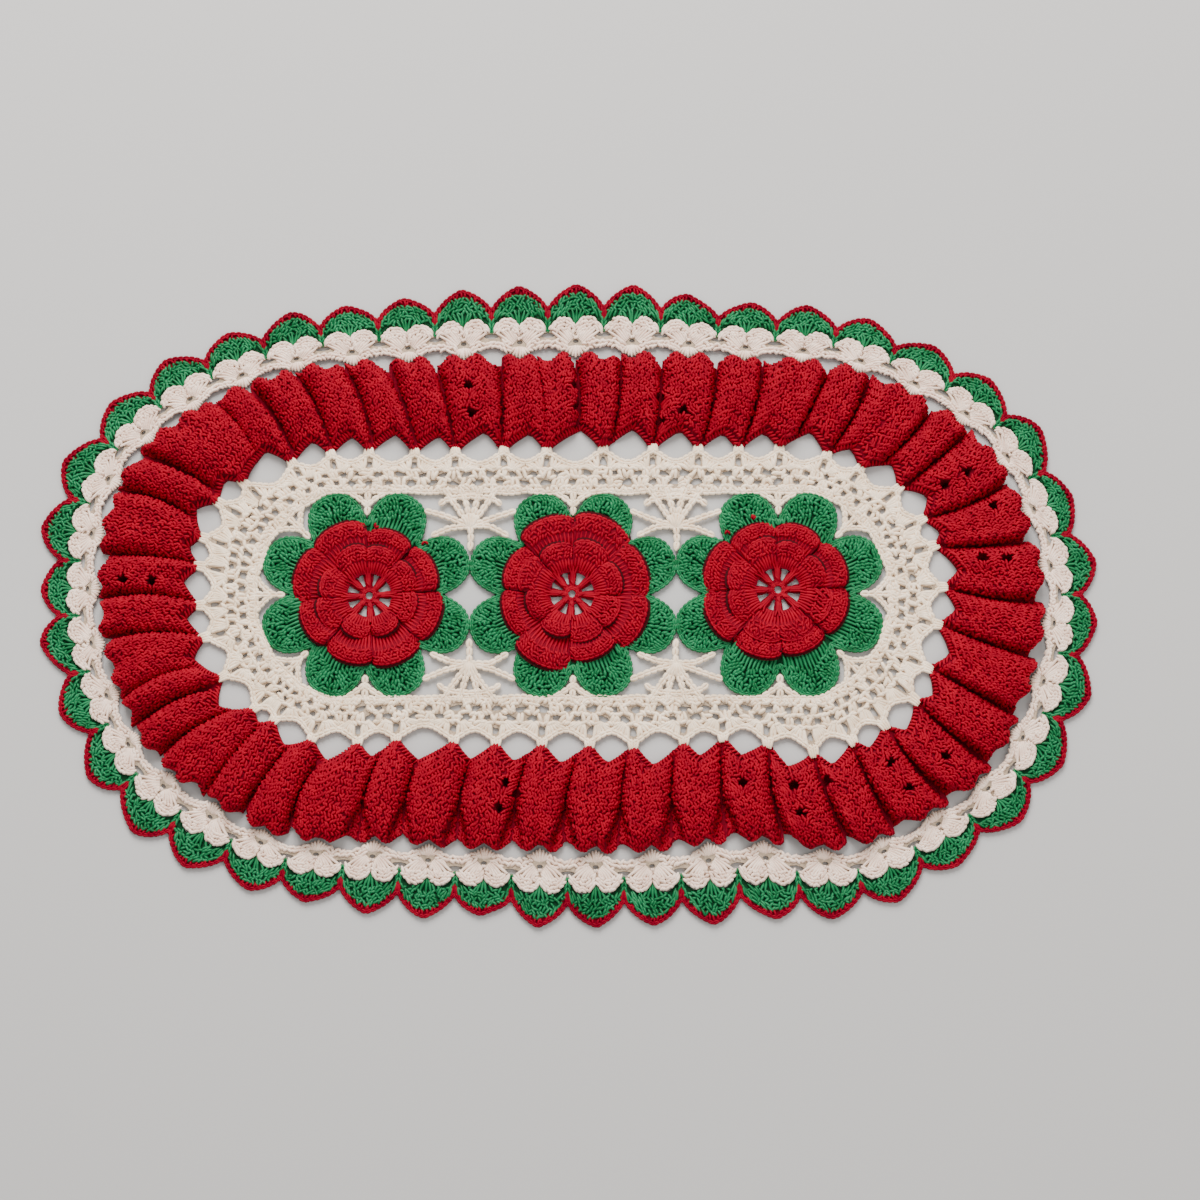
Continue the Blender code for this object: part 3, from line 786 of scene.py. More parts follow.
RUFFLE_DEPTH = 0.04             # in metres, from one edge of the unfolded band to the other
QUARTERS = 4                    # the ruffle's stitches are kept in this many pieces


def between(stations, station):
    """Which two of a ring of stations one lies between, its share of the way and their gap."""
    station %= SCALLOPS
    i = bisect_right(stations, station) - 1
    low = stations[i] - (SCALLOPS if i < 0 else 0)
    high = stations[(i + 1) % len(stations)] + (SCALLOPS if i + 1 == len(stations) else 0)
    return i % len(stations), (station - low) / (high - low), high - low


def edge_notch(outer_station):
    """How far the ruffle's outer edge draws back at a station: at the knots and the gaps."""
    _, share, _ = between(SCALLOP_STARTS, outer_station)
    knot = clamp(1 - abs(share - 0.5) / 0.2)
    gap = clamp(1 - min(share, 1 - share) / 0.27)
    return KNOT_NOTCH * ease(knot) + GAP_NOTCH * ease(gap)


def inner_notch(inner_station):
    """How far the ruffle's inner edge draws back between the ground's knots."""
    _, share, gap = between(KNOTS, inner_station)
    rise = (share - NOTCH_TIP) / (NOTCH_LOW - NOTCH_TIP)
    fall = (1 - NOTCH_TIP - share) / (1 - NOTCH_TIP - NOTCH_LOW)
    return INNER_NOTCH * clamp(gap, 0.5, 1.2) * clamp(min(rise, fall)) ** 0.8


def parts_widely(i):
    return OPEN_CREASES[0] <= i % len(FOLDS) <= OPEN_CREASES[1]


def crease_opening(i, share):
    """How far a crease lies open before and after its line, in millimetres."""
    wide = OPENING if parts_widely(i) else NARROW_OPENING
    opens = ease(clamp((share - 0.5) / 0.5))
    opens = max(opens, 1.2 / wide * ease(clamp((0.35 - share) / 0.35)))
    return 0.3 + 0.58 * wide * opens, 0.3 + 0.42 * wide * opens


def fold_width(i, share):
    """Width in plan of a fold between its two creases."""
    start, end = fold_ends(i)
    inner = (end[1] - start[1]) * INNER.lengths[-1] / SCALLOPS
    outer = (end[0] - start[0]) * STATION_LENGTH
    return mix(inner, outer, share)


def fold_depth(i):
    """Length of a fold from the ruffle's inner edge to its outer edge."""
    start, end = fold_ends(i)
    inner_station, outer_station = (start[1] + end[1]) / 2, (start[0] + end[0]) / 2
    inner_edge = inner_point(inner_station, outer_station, 2.5)
    return (border_point(outer_station, -1.5) - inner_edge).length


def ruffle_point(i, across, share):
    """Point of the ruffle's upper face: fold, share across it, share from inner to outer edge."""
    start, end = fold_ends(i)
    inner_station = mix(start[1], end[1], across)
    outer_station = mix(start[0], end[0], across)
    inner_edge = inner_point(inner_station, outer_station, inner_notch(inner_station))
    over = 0.25 if parts_widely(i) else 1.0     # how plainly it lies over the fold before it
    corner = LEAF_END * over * clamp(1 - across / 0.32) ** 2
    outer_edge = border_point(outer_station, -edge_notch(outer_station) - corner)
    width = fold_width(i, share)
    up = 1.0
    for depth, away, opening, soft in (
            (start[2], across * width, crease_opening(i, share)[1], OVER_ROUND),
            (end[2], (1 - across) * width, crease_opening(i + 1, share)[0], UNDER_ROUND)):
        soft = mix(mix(EVEN_ROUND, soft, over), 2.4, clamp((opening - 0.8) / 2.0))
        rise = clamp((away - opening) / min(soft, width * 0.6))
        shoulder = sqrt(max(0.0, 1 - (1 - rise) ** 2))
        up = min(up, 1 - depth * (1 - CREASE_FLOOR) * (1 - shoulder))
    point = inner_edge.lerp(outer_edge, share)
    out = (outer_edge - inner_edge).normalized()
    bends = CREASE_BENDS[i % len(FOLDS)], CREASE_BENDS[(i + 1) % len(FOLDS)]
    point -= square_to(out) * mix(*bends, across) * sin(pi * share)
    wave = noise.noise(point * 0.11) * UNEVEN
    height = curve_through(FOLD_CROWN, share) * up + wave * min(up, share * 4)
    point.z = max(height, EDGE_HEIGHT * ease(clamp((share - 0.75) / 0.2)))
    return point


def ruffle_normal(i, across, share):
    across, share = clamp(across, 0.01, 0.99), clamp(share, 0.02, 0.98)
    step = 0.02
    here = ruffle_point(i, across, share)
    side = ruffle_point(i, across + (step if across < 0.5 else -step), share) - here
    out = ruffle_point(i, across, share + (step if share < 0.5 else -step)) - here
    normal = side.cross(out).normalized()
    return normal if normal.z > 0 else -normal


def ruffle_strand(yarn, i, across, share, turn, length, depth, width):
    """A short strand on a fold, turned from the line that runs square to the ring."""
    points = []
    normal = ruffle_normal(i, across, share)
    for t, lift in RUFFLE_SECTION:
        a = across + t * length * sin(turn) / width
        s = share + t * length * cos(turn) / depth
        points.append(ruffle_point(i, clamp(a), clamp(s)) + normal * lift)
    yarn.strand(points, 1.28, 0.6)


def around_hole(point):
    """Direction from the nearest little hole of the ruffle, and the distance to it."""
    nearest = min(RUFFLE_HOLES, key=lambda hole: hypot(point.x - hole[0], point.y - hole[1]))
    away = Vector((point.x - nearest[0], point.y - nearest[1], 0.0))
    return away, away.length


def ruffle_strands(yarn, i):
    """Rows of legs that slant to one side and the other in turn, then the posts at the edge."""
    start, end = fold_ends(i)
    depth = fold_depth(i)
    rows = max(6, round((depth - RUFFLE_POST) / RUFFLE_ROW))
    for row in range(rows):
        share = (RUFFLE_POST + (row + 0.5) / rows * (depth - RUFFLE_POST)) / depth
        width = fold_width(i, share) + FOLD_RISE
        plan = width - FOLD_RISE
        count = max(6, round(width / RUFFLE_STITCH))
        shift = yarn.stray(0.5)
        hand = 1 if row % 2 else -1
        for leg in range(count):
            u = clamp((leg + 0.5 + shift + yarn.stray(0.3)) / count)
            a = mix(u, 0.5 - 0.5 * cos(pi * u), 0.4)
            if start[2] * CREASE_GAP > a * plan or end[2] * CREASE_GAP > (1 - a) * plan:
                continue
            s = share + yarn.stray(0.35) / depth
            turn = radians(hand * yarn.chance.uniform(26, 48))
            if yarn.chance.random() < 0.08:
                turn = -turn
            point = ruffle_point(i, a, s)
            away, distance = around_hole(point)
            if distance < CLEAR_OF_HOLE:
                continue
            if distance < ROUND_HOLE:
                out = ruffle_point(i, a, min(s + 0.05, 1.0)) - point
                turn = -atan2(out.x * away.y - out.y * away.x, out.x * away.x + out.y * away.y)
            ruffle_strand(yarn, i, a, s, turn, yarn.chance.uniform(1.8, 2.4), depth, width)
    width = fold_width(i, 0.0)
    count = max(6, round((width + 2.5) / POST_WIDTH))
    for leg in range(count):
        a = (leg + 0.5) / count
        before, after = (inner_notch(mix(start[1], end[1], a + side * 0.7 / width))
                         for side in (-1, 1))
        turn = -atan2((after - before) / 1.4, 1.0) * 0.8
        ruffle_strand(yarn, i, a, RUFFLE_POST * 0.48 * cos(turn) / depth,
                      turn + radians(yarn.stray(6)), RUFFLE_POST, depth, width)


def make_ruffle(red):
    """The folded cloth is a grid rolled round the ring, with pits at its little holes."""
    columns, rows = RUFFLE_GRID
    around, loop = len(FOLDS) * columns, 2 * rows
    build = bmesh.new()
    bmesh.ops.create_grid(build, x_segments=around, y_segments=loop, size=1.0)
    for vertex in build.verts:
        i = round((vertex.co.x + 1) / 2 * around) % around
        j = round((vertex.co.y + 1) / 2 * loop) % loop
        upper = j < rows
        share = (j if upper else loop - 1 - j) / (rows - 1)
        fold, column = divmod(i, columns)
        across = 0.5 - 0.5 * cos(pi * column / columns)
        point = ruffle_point(fold, across, share)
        point.z -= HOLE_DEPTH * clamp((HOLE_RADIUS - around_hole(point)[1]) / 0.8)
        if upper:
            point -= ruffle_normal(fold, across, share) * UNDER_STITCHES
            point.z = max(0.7, point.z)
        else:
            point.z = max(0.1, point.z - CLOTH_THICK)
        vertex.co = (point - MIDDLE) * MM
    bmesh.ops.remove_doubles(build, verts=build.verts, dist=1e-7)
    bmesh.ops.recalc_face_normals(build, faces=build.faces)
    # the cloth under the ruffle's stitches wears painted shade of the gaps between strands
    cloth = finished_piece("ruffle_cloth", finished_mesh("ruffle_cloth", build), red.inside,
                           red.slot)
    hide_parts("ruffle")
    for quarter in range(QUARTERS):
        yarn = Yarn(40 + quarter)
        first, last = (len(FOLDS) * part // QUARTERS for part in (quarter, quarter + 1))
        for i in range(first, last):
            ruffle_strands(yarn, i)
        yarn_piece(f"ruffle_stitches_{quarter + 1}", yarn, red)
    cloth_area(cloth) / RUFFLE_DEPTH


# ---------------------------------------------------------------- ground

GROUND_STATION = INNER.lengths[-1] / SCALLOPS
SHELL_TOP, SHELL_ROOT = 2.2, 9.0                # of the shells that hang from the knots
# Rows of stitches further in: distance inwards, length, slant in degrees, pitch
GROUND_ROWS = (
    (8.3, 2.2, 60, 1.5), (10.2, 3.5, 15, 1.5), (12.1, 2.2, 60, 1.5), (13.9, 3.5, 15, 1.5),
    (15.7, 2.2, 60, 1.5), (17.0, 2.4, 24, 1.6),
)
# Holes between them: share of the way between knots, distance inwards, half width, half height
GROUND_HOLES = (
    (0.0, 5.4, 1.6, 1.8), (0.3, 10.2, 1.9, 1.4), (0.78, 10.2, 1.7, 1.3),
    (0.04, 13.9, 2.2, 1.4), (0.54, 13.9, 1.9, 1.3),
)
OPEN_LACE, DENSE_LACE = 1.2, 0.8    # width of the holes along the straight sides and the ends
ENDS_FROM = 90.0                # the ends begin this far from the middle
# Directions in degrees of the bars that hold each rose's leaves
BARS = {"left": (90, 135, 180, 225, 270), "middle": (90, 270), "right": (270, 315, 0, 45, 90)}


def outer_station_of(station):
    """Station on the ruffle's outer edge across from one on its inner edge."""
    i, share, _ = between(FOLD_STARTS, station)
    start, end = fold_ends(i)
    return mix(start[0], end[0], share)


def ground_point(station, inward, z=LAY):
    """Point inwards from the knots' line, on the way to the window's rim at GROUND_DEPTH."""
    outer = inner_point(station, outer_station_of(station), 0.0, z)
    x, y = outer.x - WINDOW_X, outer.y - WINDOW_Y
    along = clamp(x, -WINDOW_STRAIGHT, WINDOW_STRAIGHT)
    out = Vector((x - along, y, 0.0)).normalized() * WINDOW_END_RADIUS
    rim = Vector((WINDOW_X + along + out.x,
                  WINDOW_Y + clamp(out.y, -WINDOW_HALF_WIDTH, WINDOW_HALF_WIDTH), z))
    return outer.lerp(rim, inward / GROUND_DEPTH)


def ground_dip(station):
    """How far the ground's edge dips between two knots."""
    _, share, gap = between(KNOTS, station)
    return GROUND_DIP * clamp(gap, 0.5, 1.3) * sin(pi * clamp(share)) ** 1.3


def window_gap(point):
    """Distance from a point to the window's rim, negative inside the window."""
    x, y = abs(point.x - WINDOW_X) - WINDOW_STRAIGHT, abs(point.y - WINDOW_Y)
    side = y - WINDOW_HALF_WIDTH
    if x <= 0:
        return side
    return max(side, hypot(x, y) - WINDOW_END_RADIUS)


def window_rim(lift=0.0):
    """Points round the window, anticlockwise from the right."""
    points = []
    half = WINDOW_HALF_WIDTH + lift
    for side in (1, -1):
        end = Vector((WINDOW_X + side * WINDOW_STRAIGHT, WINDOW_Y, LAY))
        for degrees in range(-90, 91, 6):
            reach = (WINDOW_END_RADIUS + lift) * direction(
                radians(degrees if side > 0 else degrees + 180))
            reach.y = clamp(reach.y, -half, half)
            points.append(end + reach)
    return points


def round_share(inward):
    """Length of a round of the ground at a distance inwards, as a share of the first one's."""
    return 1 - inward / 110


def knot_pairs():
    """Each knot's station and the next one's, always ahead of it."""
    return [(low, KNOTS[(j + 1) % SCALLOPS] + (SCALLOPS if j + 1 == SCALLOPS else 0))
            for j, low in enumerate(KNOTS)]


def ground_openings(yarn):
    """Outlines of the ground's holes, with the middle and half width of each."""
    outlines, middles = [], []
    for low, high in knot_pairs():
        for share, inward, half_width, half_height in GROUND_HOLES:
            room = (high - low) * GROUND_STATION * round_share(inward)
            wide = min(half_width * yarn.chance.uniform(0.6, 1.05), room * 0.17)
            wide *= OPEN_LACE if abs(ground_point(low, 0.0).x) < ENDS_FROM else DENSE_LACE
            tall = half_height * yarn.chance.uniform(0.7, 1.1)
            station = mix(low, high, share + yarn.stray(0.03))
            inward += yarn.stray(0.3)
            turn = yarn.stray(0.3)

            def at(across, up):
                return ground_point(station + across / GROUND_STATION, inward - up - turn * across)

            outlines.append(hole_outline(at, wide, tall, 10, yarn.chance.uniform(0, 2 * pi)))
            middles.append((at(0.0, 0.0), wide))
    return outlines, middles


def nearest_hole(point, middles):
    """Direction from the nearest hole's middle, and how far the point is past its rim."""
    middle, wide = min(middles, key=lambda hole: (point - hole[0]).length - hole[1])
    away = point - middle
    return away, away.length - wide


def ground_row(yarn, middles, inward, length, degrees, pitch):
    """A row of slanted strands; those beside a hole are drawn aside from it."""
    count = round(SCALLOPS * GROUND_STATION * round_share(inward) / pitch)
    for n in range(count):
        station = (n + yarn.stray(0.3)) * SCALLOPS / count
        middle = ground_point(station, inward + yarn.stray(0.4))
        away, gap = nearest_hole(middle, middles)
        if gap < -0.2:
            continue
        along = (ground_point(station, inward + 1.0) - middle).normalized()
        turn = yarn.lean(degrees, 0.08)
        half = length * yarn.chance.uniform(0.42, 0.56)
        if gap < 0.7:
            middle += away.normalized() * (0.7 - gap)
        way = (along * cos(turn) + square_to(along) * sin(turn)) * half
        up = Vector((0.0, 0.0, yarn.chance.uniform(-0.1, 0.3)))
        yarn.bow(middle - way + up, middle + way + up, 0.35, yarn.stray(0.2), 1.5, 0.8)


def knot_shells(yarn):
    """The outer round: a shell of posts over every knot, and the rope along the rim."""
    rim = []
    for j, (low, high) in enumerate(knot_pairs()):
        before = KNOTS[j - 1] - (0 if j else SCALLOPS)
        for n in range(12):
            station = mix(low, high, n / 12)
            rim.append(ground_point(station, 0.6 + ground_dip(station)))
        rope = [ground_point(mix(low, high, s / 8), 0.9 + ground_dip(mix(low, high, s / 8)),
                             LAY + 0.15) for s in range(9)]
        yarn.chain(rope, 2.3, 1.15, 1.25)
        for hand, gap in ((1, high - low), (-1, low - before)):
            posts = 6 if gap > 0.8 else 5
            for n in range(posts):
                spread = (n + 0.7) / posts
                head = low + hand * (gap * 0.46 * spread + 0.05 + yarn.stray(0.02))
                root = low + hand * (1.9 + 1.9 * spread) / GROUND_STATION
                a = ground_point(root, SHELL_ROOT - 1.2 * (1 - spread), LAY - 0.1)
                b = ground_point(head, SHELL_TOP + ground_dip(head) - 0.6 * spread)
                side = square_to(a - b).normalized()
                wobble = side * yarn.stray(0.3) + Vector((0.0, 0.0, 0.45))
                yarn.strand([a, a.lerp(b, 0.45) + wobble, b], 1.55, 0.8)
                tip = ground_point(head + 0.6 / GROUND_STATION, SHELL_TOP + ground_dip(head) - 1.0)
                yarn.bow(b + side * 0.6, tip, thick=1.1)
        for lean in (-1.5, -0.5, 0.5, 1.5):
            yarn.bow(ground_point(low + lean * 1.2 / GROUND_STATION, 2.9 - 0.3 * abs(lean)),
                     ground_point(low + lean * 0.7 / GROUND_STATION, -1.6, LAY + 0.5),
                     thick=1.25)
    return rim


def leaf_bars(cords, rose):
    """Short bars from the window's rim in to the gaps between a rose's leaves."""
    middle = Vector((rose.x, rose.y, LAY + 0.2))
    for degrees in BARS[rose.name]:
        out = direction(radians(degrees))
        across = square_to(out)
        tip, reach = middle + out * BAR_TIP_RADIUS, BAR_TIP_RADIUS
        while window_gap(middle + out * reach) < 0.0:
            reach += 0.25
        root = middle + out * reach
        cords.chain([root, tip], 2.6, 1.4, 1.3)
        for hand in (1, -1):
            arc = [tip.lerp(root, 0.4), tip.lerp(root, 0.75) + across * hand * 3.2,
                   root + across * hand * 6.5 - out * 0.4]
            cords.chain(arc, 2.5, 1.2, 1.25)


def spider_web(cords, x, side):
    """A web of chains between two roses, side 1 above their line and -1 below it."""
    centre = Vector((x, ROSE_LINE + side * WEB_HEIGHT, LAY + 0.3))
    rise = WINDOW_HALF_WIDTH - WEB_HEIGHT + side * (WINDOW_Y - ROSE_LINE)
    ends = [(x * hand, rise + 1.5) for x in WEB_SPREAD for hand in (1, -1)]
    ends += [(x * hand, y) for x, y in WEB_ARMS for hand in (1, -1)]
    ends.append((0.0, WEB_FOOT))
    for x, y in ends:
        end = centre + Vector((x, side * y, 0.0))
        sag = Vector((cords.stray(0.7), cords.stray(0.7), 0.2))
        if x and y < 0:
            sag.y += 1.5 * side
        cords.chain([centre, centre.lerp(end, 0.5) + sag, end], 2.6, 1.3, 1.35)
    for lean in (-2, -1, 0, 1, 2):
        cords.bow(centre + Vector((lean * 0.4, -side * 0.6, 0.3)),
                  centre + Vector((lean * 1.4, side * (5.0 - 0.4 * abs(lean)), 0.3)), 0.4,
                  thick=1.35, ends=0.8)
    over = [centre + Vector((11.5 * cos(a), side * (rise - 4.6 + 3.2 * sin(a)), 0.0))
            for a in (pi * n / 8 for n in range(9))]
    cords.chain(over, 2.4, 1.3, 1.3)


def make_ground(ecru):
    yarn = Yarn(51)
    holes, middles = ground_openings(yarn)
    rim = knot_shells(yarn)
    for row in GROUND_ROWS:
        ground_row(yarn, middles, *row)
    border = resample(window_rim(0.7) + window_rim(0.7)[:1], 190)
    middle = Vector((WINDOW_X, WINDOW_Y, 0.0))
    border = [point - (point - middle).normalized() * (1.1 * abs(sin(pi * n / 5)) - 0.3)
              for n, point in enumerate(border)]
    yarn.chain(border, 2.4, 1.2, 1.35)
    cloth = flat_cloth("ground_cloth", [rim, window_rim(), *holes], ecru)
    cords = Yarn(52)
    for rose in ROSES:
        leaf_bars(cords, rose)
    for left, right in zip(ROSES, ROSES[1:]):
        for side in (1, -1):
            spider_web(cords, (left.x + right.x) / 2, side)
    stitches = yarn_piece("ground_stitches", yarn, ecru)
    webs = yarn_piece("web_cords", cords, ecru)
    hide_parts("ground")
    cloth_area(cloth)


# ---------------------------------------------------------------- leaves

LEAF_ROUND = 12.2               # mean radius of a leaf's half disc
LEAF_SQUARE = 0.82              # below 1 the half disc's shoulders are fuller than a circle's
LEAF_SWELL = 0.8                # a leaf's rise from its rim to 3 mm in
LEAF_POSTS = 13
# Rows of stitches: distance in from the round edge, share of the edge's length
LEAF_ROWS = ((1.9, 0.99), (3.4, 0.97), (4.9, 0.93), (6.4, 0.85), (7.9, 0.7))


def make_leaves(rose, green):
    middle = Vector((rose.x, rose.y, 0.0))
    rim, yarn = [], Yarn(60 + rose.seed)
    for i in range(PETALS):
        out = direction((i + 0.5) * 2 * pi / PETALS)
        side = square_to(out)

        def place(u, v, lift=0.0):
            """Point of the leaf: u along its round edge from the tip, v inwards from the edge."""
            angle = clamp(u / LEAF_ROUND, -2.0, 2.0)
            scale = 1 - v / LEAF_ROUND
            up, across = (signed_power(part, LEAF_SQUARE) for part in (cos(angle), sin(angle)))
            point = middle + out * (LEAF_MIDDLE_RADIUS + LEAF_REACH * scale * up) + (
                side * LEAF_HALF_WIDTH * scale * across)
            point.z = LAY + lift + LEAF_SWELL * min(v, 3.0) / 3.0
            return point

        rim += [place(LEAF_ROUND * radians(mix(-88, 88, n / 14)), 1.0) for n in range(15)]
        half = LEAF_ROUND * radians(97)
        edge = [place(half * n / 12, 0.6) for n in range(-12, 13)]
        yarn.chain(edge, 2.1, 0.9, 1.12)
        for v, shrink in LEAF_ROWS:
            reach = half * shrink
            yarn.row(place, v, -reach, reach, 1.4 / (1 - v / LEAF_ROUND), 2.4, 34, 1.2)
        for n in range(LEAF_POSTS):
            across = mix(-9.8, 9.8, (n + 0.5) / LEAF_POSTS)
            root = middle + out * 21.0 + side * across * 0.86
            head = middle + out * (27.5 + 4.0 * cos(across / 7.6)) + side * across
            root.z, head.z = LAY, LAY + 0.7
            bend = side * yarn.stray(0.25) + Vector((0, 0, 0.3))
            yarn.strand([root, root.lerp(head, 0.5) + bend, head], 1.3)
    hole = [middle + direction(2 * pi * n / 32) * (LEAF_RING_INNER + 0.6) for n in range(32)]
    cloth = flat_cloth(f"leaf_cloth_{rose.name}", [rim, hole], green)
    stitches = yarn_piece(f"leaf_stitches_{rose.name}", yarn, green)
    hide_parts("leaves_" + rose.name)
    cloth_area(cloth)


# ---------------------------------------------------------------- roses

# Outer and inner layer of petals: rows of radius and height from root to rim, ribs of a petal,
# radius where the ribs end, radii of the rows of rim stitches
PETAL_LAYERS = (
    (((13.0, 2.4), (18.0, 3.0), (21.0, 3.9), (24.6, 4.7), (27.2, 4.5), (28.3, 3.7)),
     11, 22.6, (23.0, 24.3, 25.6, 26.9)),
    (((8.4, 3.1), (11.0, 3.8), (14.0, 4.5), (16.8, 5.0), (18.9, 4.9), (20.0, 4.3)),
     8, 13.9, (14.3, 15.7, 17.1, 18.5)),
)
# How far each petal's rim strays outwards, anticlockwise from the right: outer and inner layer
PETAL_REACH = {
    "left": ((-1.8, -2.8, 0.8, 0.5, -1.5, -1.8, -0.5, -0.5),
             (-1.5, -1.5, -0.5, -1.3, 0.3, -3.4, -3.8, -1.6)),
    "middle": ((1.0, 2.8, 1.8, -2.0, -1.8, 1.5, -2.5, 1.0),
               (-0.8, 0.8, -0.5, 1.3, -2.6, -2.8, -1.0, -1.0)),
    "right": ((-1.8, -3.0, -2.4, 0.0, 0.2, -1.5, -2.8, -1.8),
              (-1.5, -2.0, 0.0, -0.5, -0.5, 1.2, 1.0, 1.0)),
}
PETAL_LEAN = 1.9                # most that one side of a petal's rim stands above the middle
PETAL_LOW = 1.4                 # no petal lies lower than this
RIM_TURN = (1.0, 1.0)           # how far a petal's rim reaches out and down where it turns under
# Ends of red thread that show on the leaves: rose, x, y, directions of the strands
STRAY_TIES = (
    ("right", 69.9, 32.5, (35, 120, 50, 75)), ("right", 60.4, 26.2, (60, 130)),
    ("left", -72.5, 29.2, (80, 20)), ("left", -54.0, 21.8, (50, 140)),
)
HUB_RADIUS = 11.6
HUB_CENTRE = 1.7
HUB_OPENING = ((4.0, 8.0), (8.6, 13.0))     # radius and half angle at its two ends


def petal_angle(rose, place):
    """Angle of a petal's middle at half a place, and of the joint before it at a whole one."""
    return radians(rose.degrees + place * 360 / PETALS)


def make_hub(rose, middle, red, yarn):
    """The rose's middle: eight spokes with an opening between each two."""
    openings = []
    for i in range(PETALS):
        across = petal_angle(rose, i + 0.5)
        (near, narrow), (far, wide) = HUB_OPENING
        shrink = yarn.chance.uniform(0.6, 1.05)
        narrow, wide = narrow * shrink, wide * shrink
        far *= 0.9 + 0.1 * shrink
        openings.append([polar_point(middle, across + radians(a), r, 0.0) for a, r in (
            (-narrow, near), (narrow, near), (wide * 0.8, mix(near, far, 0.6)), (wide, far),
            (0.0, far + 0.4), (-wide, far), (-wide * 0.8, mix(near, far, 0.6)))])
        spoke = petal_angle(rose, i)
        for hand in (1, 0, -1):
            dip = 0.2 * abs(hand)
            course = ((0.2, 2.0, LAY), (0.1, 5.0, LAY + 0.6 - dip), (0.08, 8.0, LAY + 0.8 - dip),
                      (0.17, 10.6, LAY + 2.4))
            yarn.strand([polar_point(middle, spoke + hand * turn, radius, z)
                         for turn, radius, z in course], 1.2)
        yarn.bow(polar_point(middle, spoke - 0.13, 3.4, LAY + 0.5),
                 polar_point(middle, spoke + 0.13, 5.2, LAY + 0.7))

    def place(u, v, lift=0.0):
        return polar_point(middle, u / v, v, LAY + 0.4 + lift)

    yarn.row(place, 9.4, -pi * 9.4, pi * 9.4, 1.4, 2.2, 30)
    ring = [polar_point(middle, 2 * pi * n / 24, HUB_CENTRE + 0.6, LAY) for n in range(25)]
    yarn.chain(ring, 1.6, 0.8)
    outlines = [circle(middle, HUB_RADIUS, 32), circle(middle, HUB_CENTRE, 10), *openings]
    hub = flat_cloth("rose_hub_" + rose.name, outlines, red, 0.3, 1.5)
    cloth_area(hub)


def petal_grid(build, place, first, last, half):
    """A petal's cloth, whose rim turns down and under in the slot of the painted shadow."""
    for vertex in bmesh.ops.create_grid(build, x_segments=12, y_segments=8, size=1.0)["verts"]:
        v, lift = mix(first, last + 0.1, (vertex.co.y + 1) / 2), -0.6
        if vertex.co.y > 0.99:
            v, lift = last + RIM_TURN[0], -RIM_TURN[1]
            # the turned-under rim takes the painted shadow's material
            for face in vertex.link_faces:
                face.material_index = 1
        point = place(vertex.co.x * half * 1.02 * v, v, lift)
        point.z = max(point.z, 0.8)
        vertex.co = (point - MIDDLE) * MM


def petal_stitches(yarn, place, half, first, last, ribs, rib_end, rim_rows):
    """Radiating ribs, rows of slanted stitches towards the rim and a rope along it."""
    for n in range(ribs):
        angle = half * mix(-0.98, 0.98, (n + 0.5) / ribs)
        points = []
        for s in range(4):
            v = mix(first + 0.2, rib_end, s / 3)
            points.append(place(angle * v + yarn.stray(0.12), v, 0.1 if 0 < s < 3 else -0.2))
        yarn.strand(points, 1.2)
    for v in rim_rows:
        yarn.row(place, v, -half * v * 0.97, half * v * 0.97, 1.3, 2.1, 32, 1.1)
    edge = [place(half * last * n / 8.3, last - 0.5, -0.1) for n in range(-8, 9)]
    yarn.chain(edge, 2.1, 0.8, 1.1)


def make_rose(rose, red, painted_rim_shadow):
    middle = Vector((rose.x + rose.hub_x, rose.y + rose.hub_y, 0.0))
    yarn = Yarn(80 + rose.seed)
    chance = random.Random(rose.seed)
    build = bmesh.new()
    for (rows, *work), reaches in zip(PETAL_LAYERS, PETAL_REACH[rose.name]):
        first, last = rows[0][0], rows[-1][0]
        for i, longer in enumerate(reaches):
            centre = petal_angle(rose, i + 0.5)
            lean = chance.uniform(0.4, 1.0) * (1 if chance.random() < 0.7 else -1)
            half = radians(22.3 + 0.2 * longer)
            sunk = chance.uniform(0.0, 1.3)

            def place(u, v, lift=0.0):
                """Point of the petal: u along the arc from its middle, v the nominal radius."""
                angle = u / v
                across = clamp(angle / half, -1.0, 1.0)
                share = clamp((v - first) / (last - first), 0.0, 1.02)
                round_in = (1 - sqrt(max(0.0, 1 - abs(across) ** 2.5))) * share ** 2
                radius = v + longer * share - 2.5 * round_in
                height = curve_through(rows, v) + lean * across * PETAL_LEAN * share
                height -= 1.7 * round_in
                height -= sunk * (1 - share) ** 2 + 0.5 * across ** 4
                return polar_point(middle, centre + angle, radius, max(height, PETAL_LOW) + lift)

            petal_grid(build, place, first, last, half)
            petal_stitches(yarn, place, half, first, last, *work)
    outer_reach = PETAL_REACH[rose.name][0]
    for i in range(PETALS):
        joint = petal_angle(rose, i)
        end = 25.4 + (outer_reach[i] + outer_reach[i - 1]) / 2 + chance.uniform(0.2, 1.3)
        for turn in (-0.03, 0.02):
            yarn.bow(polar_point(middle, joint + turn, end - 2.4, 2.8),
                     polar_point(middle, joint + turn * 0.3, end, 2.5))
    for name, x, y, turns in STRAY_TIES:
        for turn in turns if name == rose.name else ():
            way = direction(radians(turn))
            tie = Vector((x, y, 2.8)) + square_to(way) * chance.uniform(-0.9, 0.9)
            yarn.bow(tie - way * 0.8, tie + way * 0.8, 0.4, thick=0.9)
    make_hub(rose, middle, red, yarn)
    bmesh.ops.recalc_face_normals(build, faces=build.faces)
    bmesh.ops.solidify(build, geom=build.faces[:], thickness=-0.0006)
    mesh = finished_mesh("rose_cloth_" + rose.name, build)
    # slot 0: the red's inside, painted shade of the gaps between strands
    cloth = finished_piece("rose_cloth_" + rose.name, mesh, red.inside, red.slot)
    # slot 1: the painted shadow under the rims
    mesh.materials.append(painted_rim_shadow)
    stitches = yarn_piece("rose_stitches_" + rose.name, yarn, red)
    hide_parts("rose_" + rose.name)
    side = sqrt(cloth_area(cloth))


# ---------------------------------------------------------------- stage

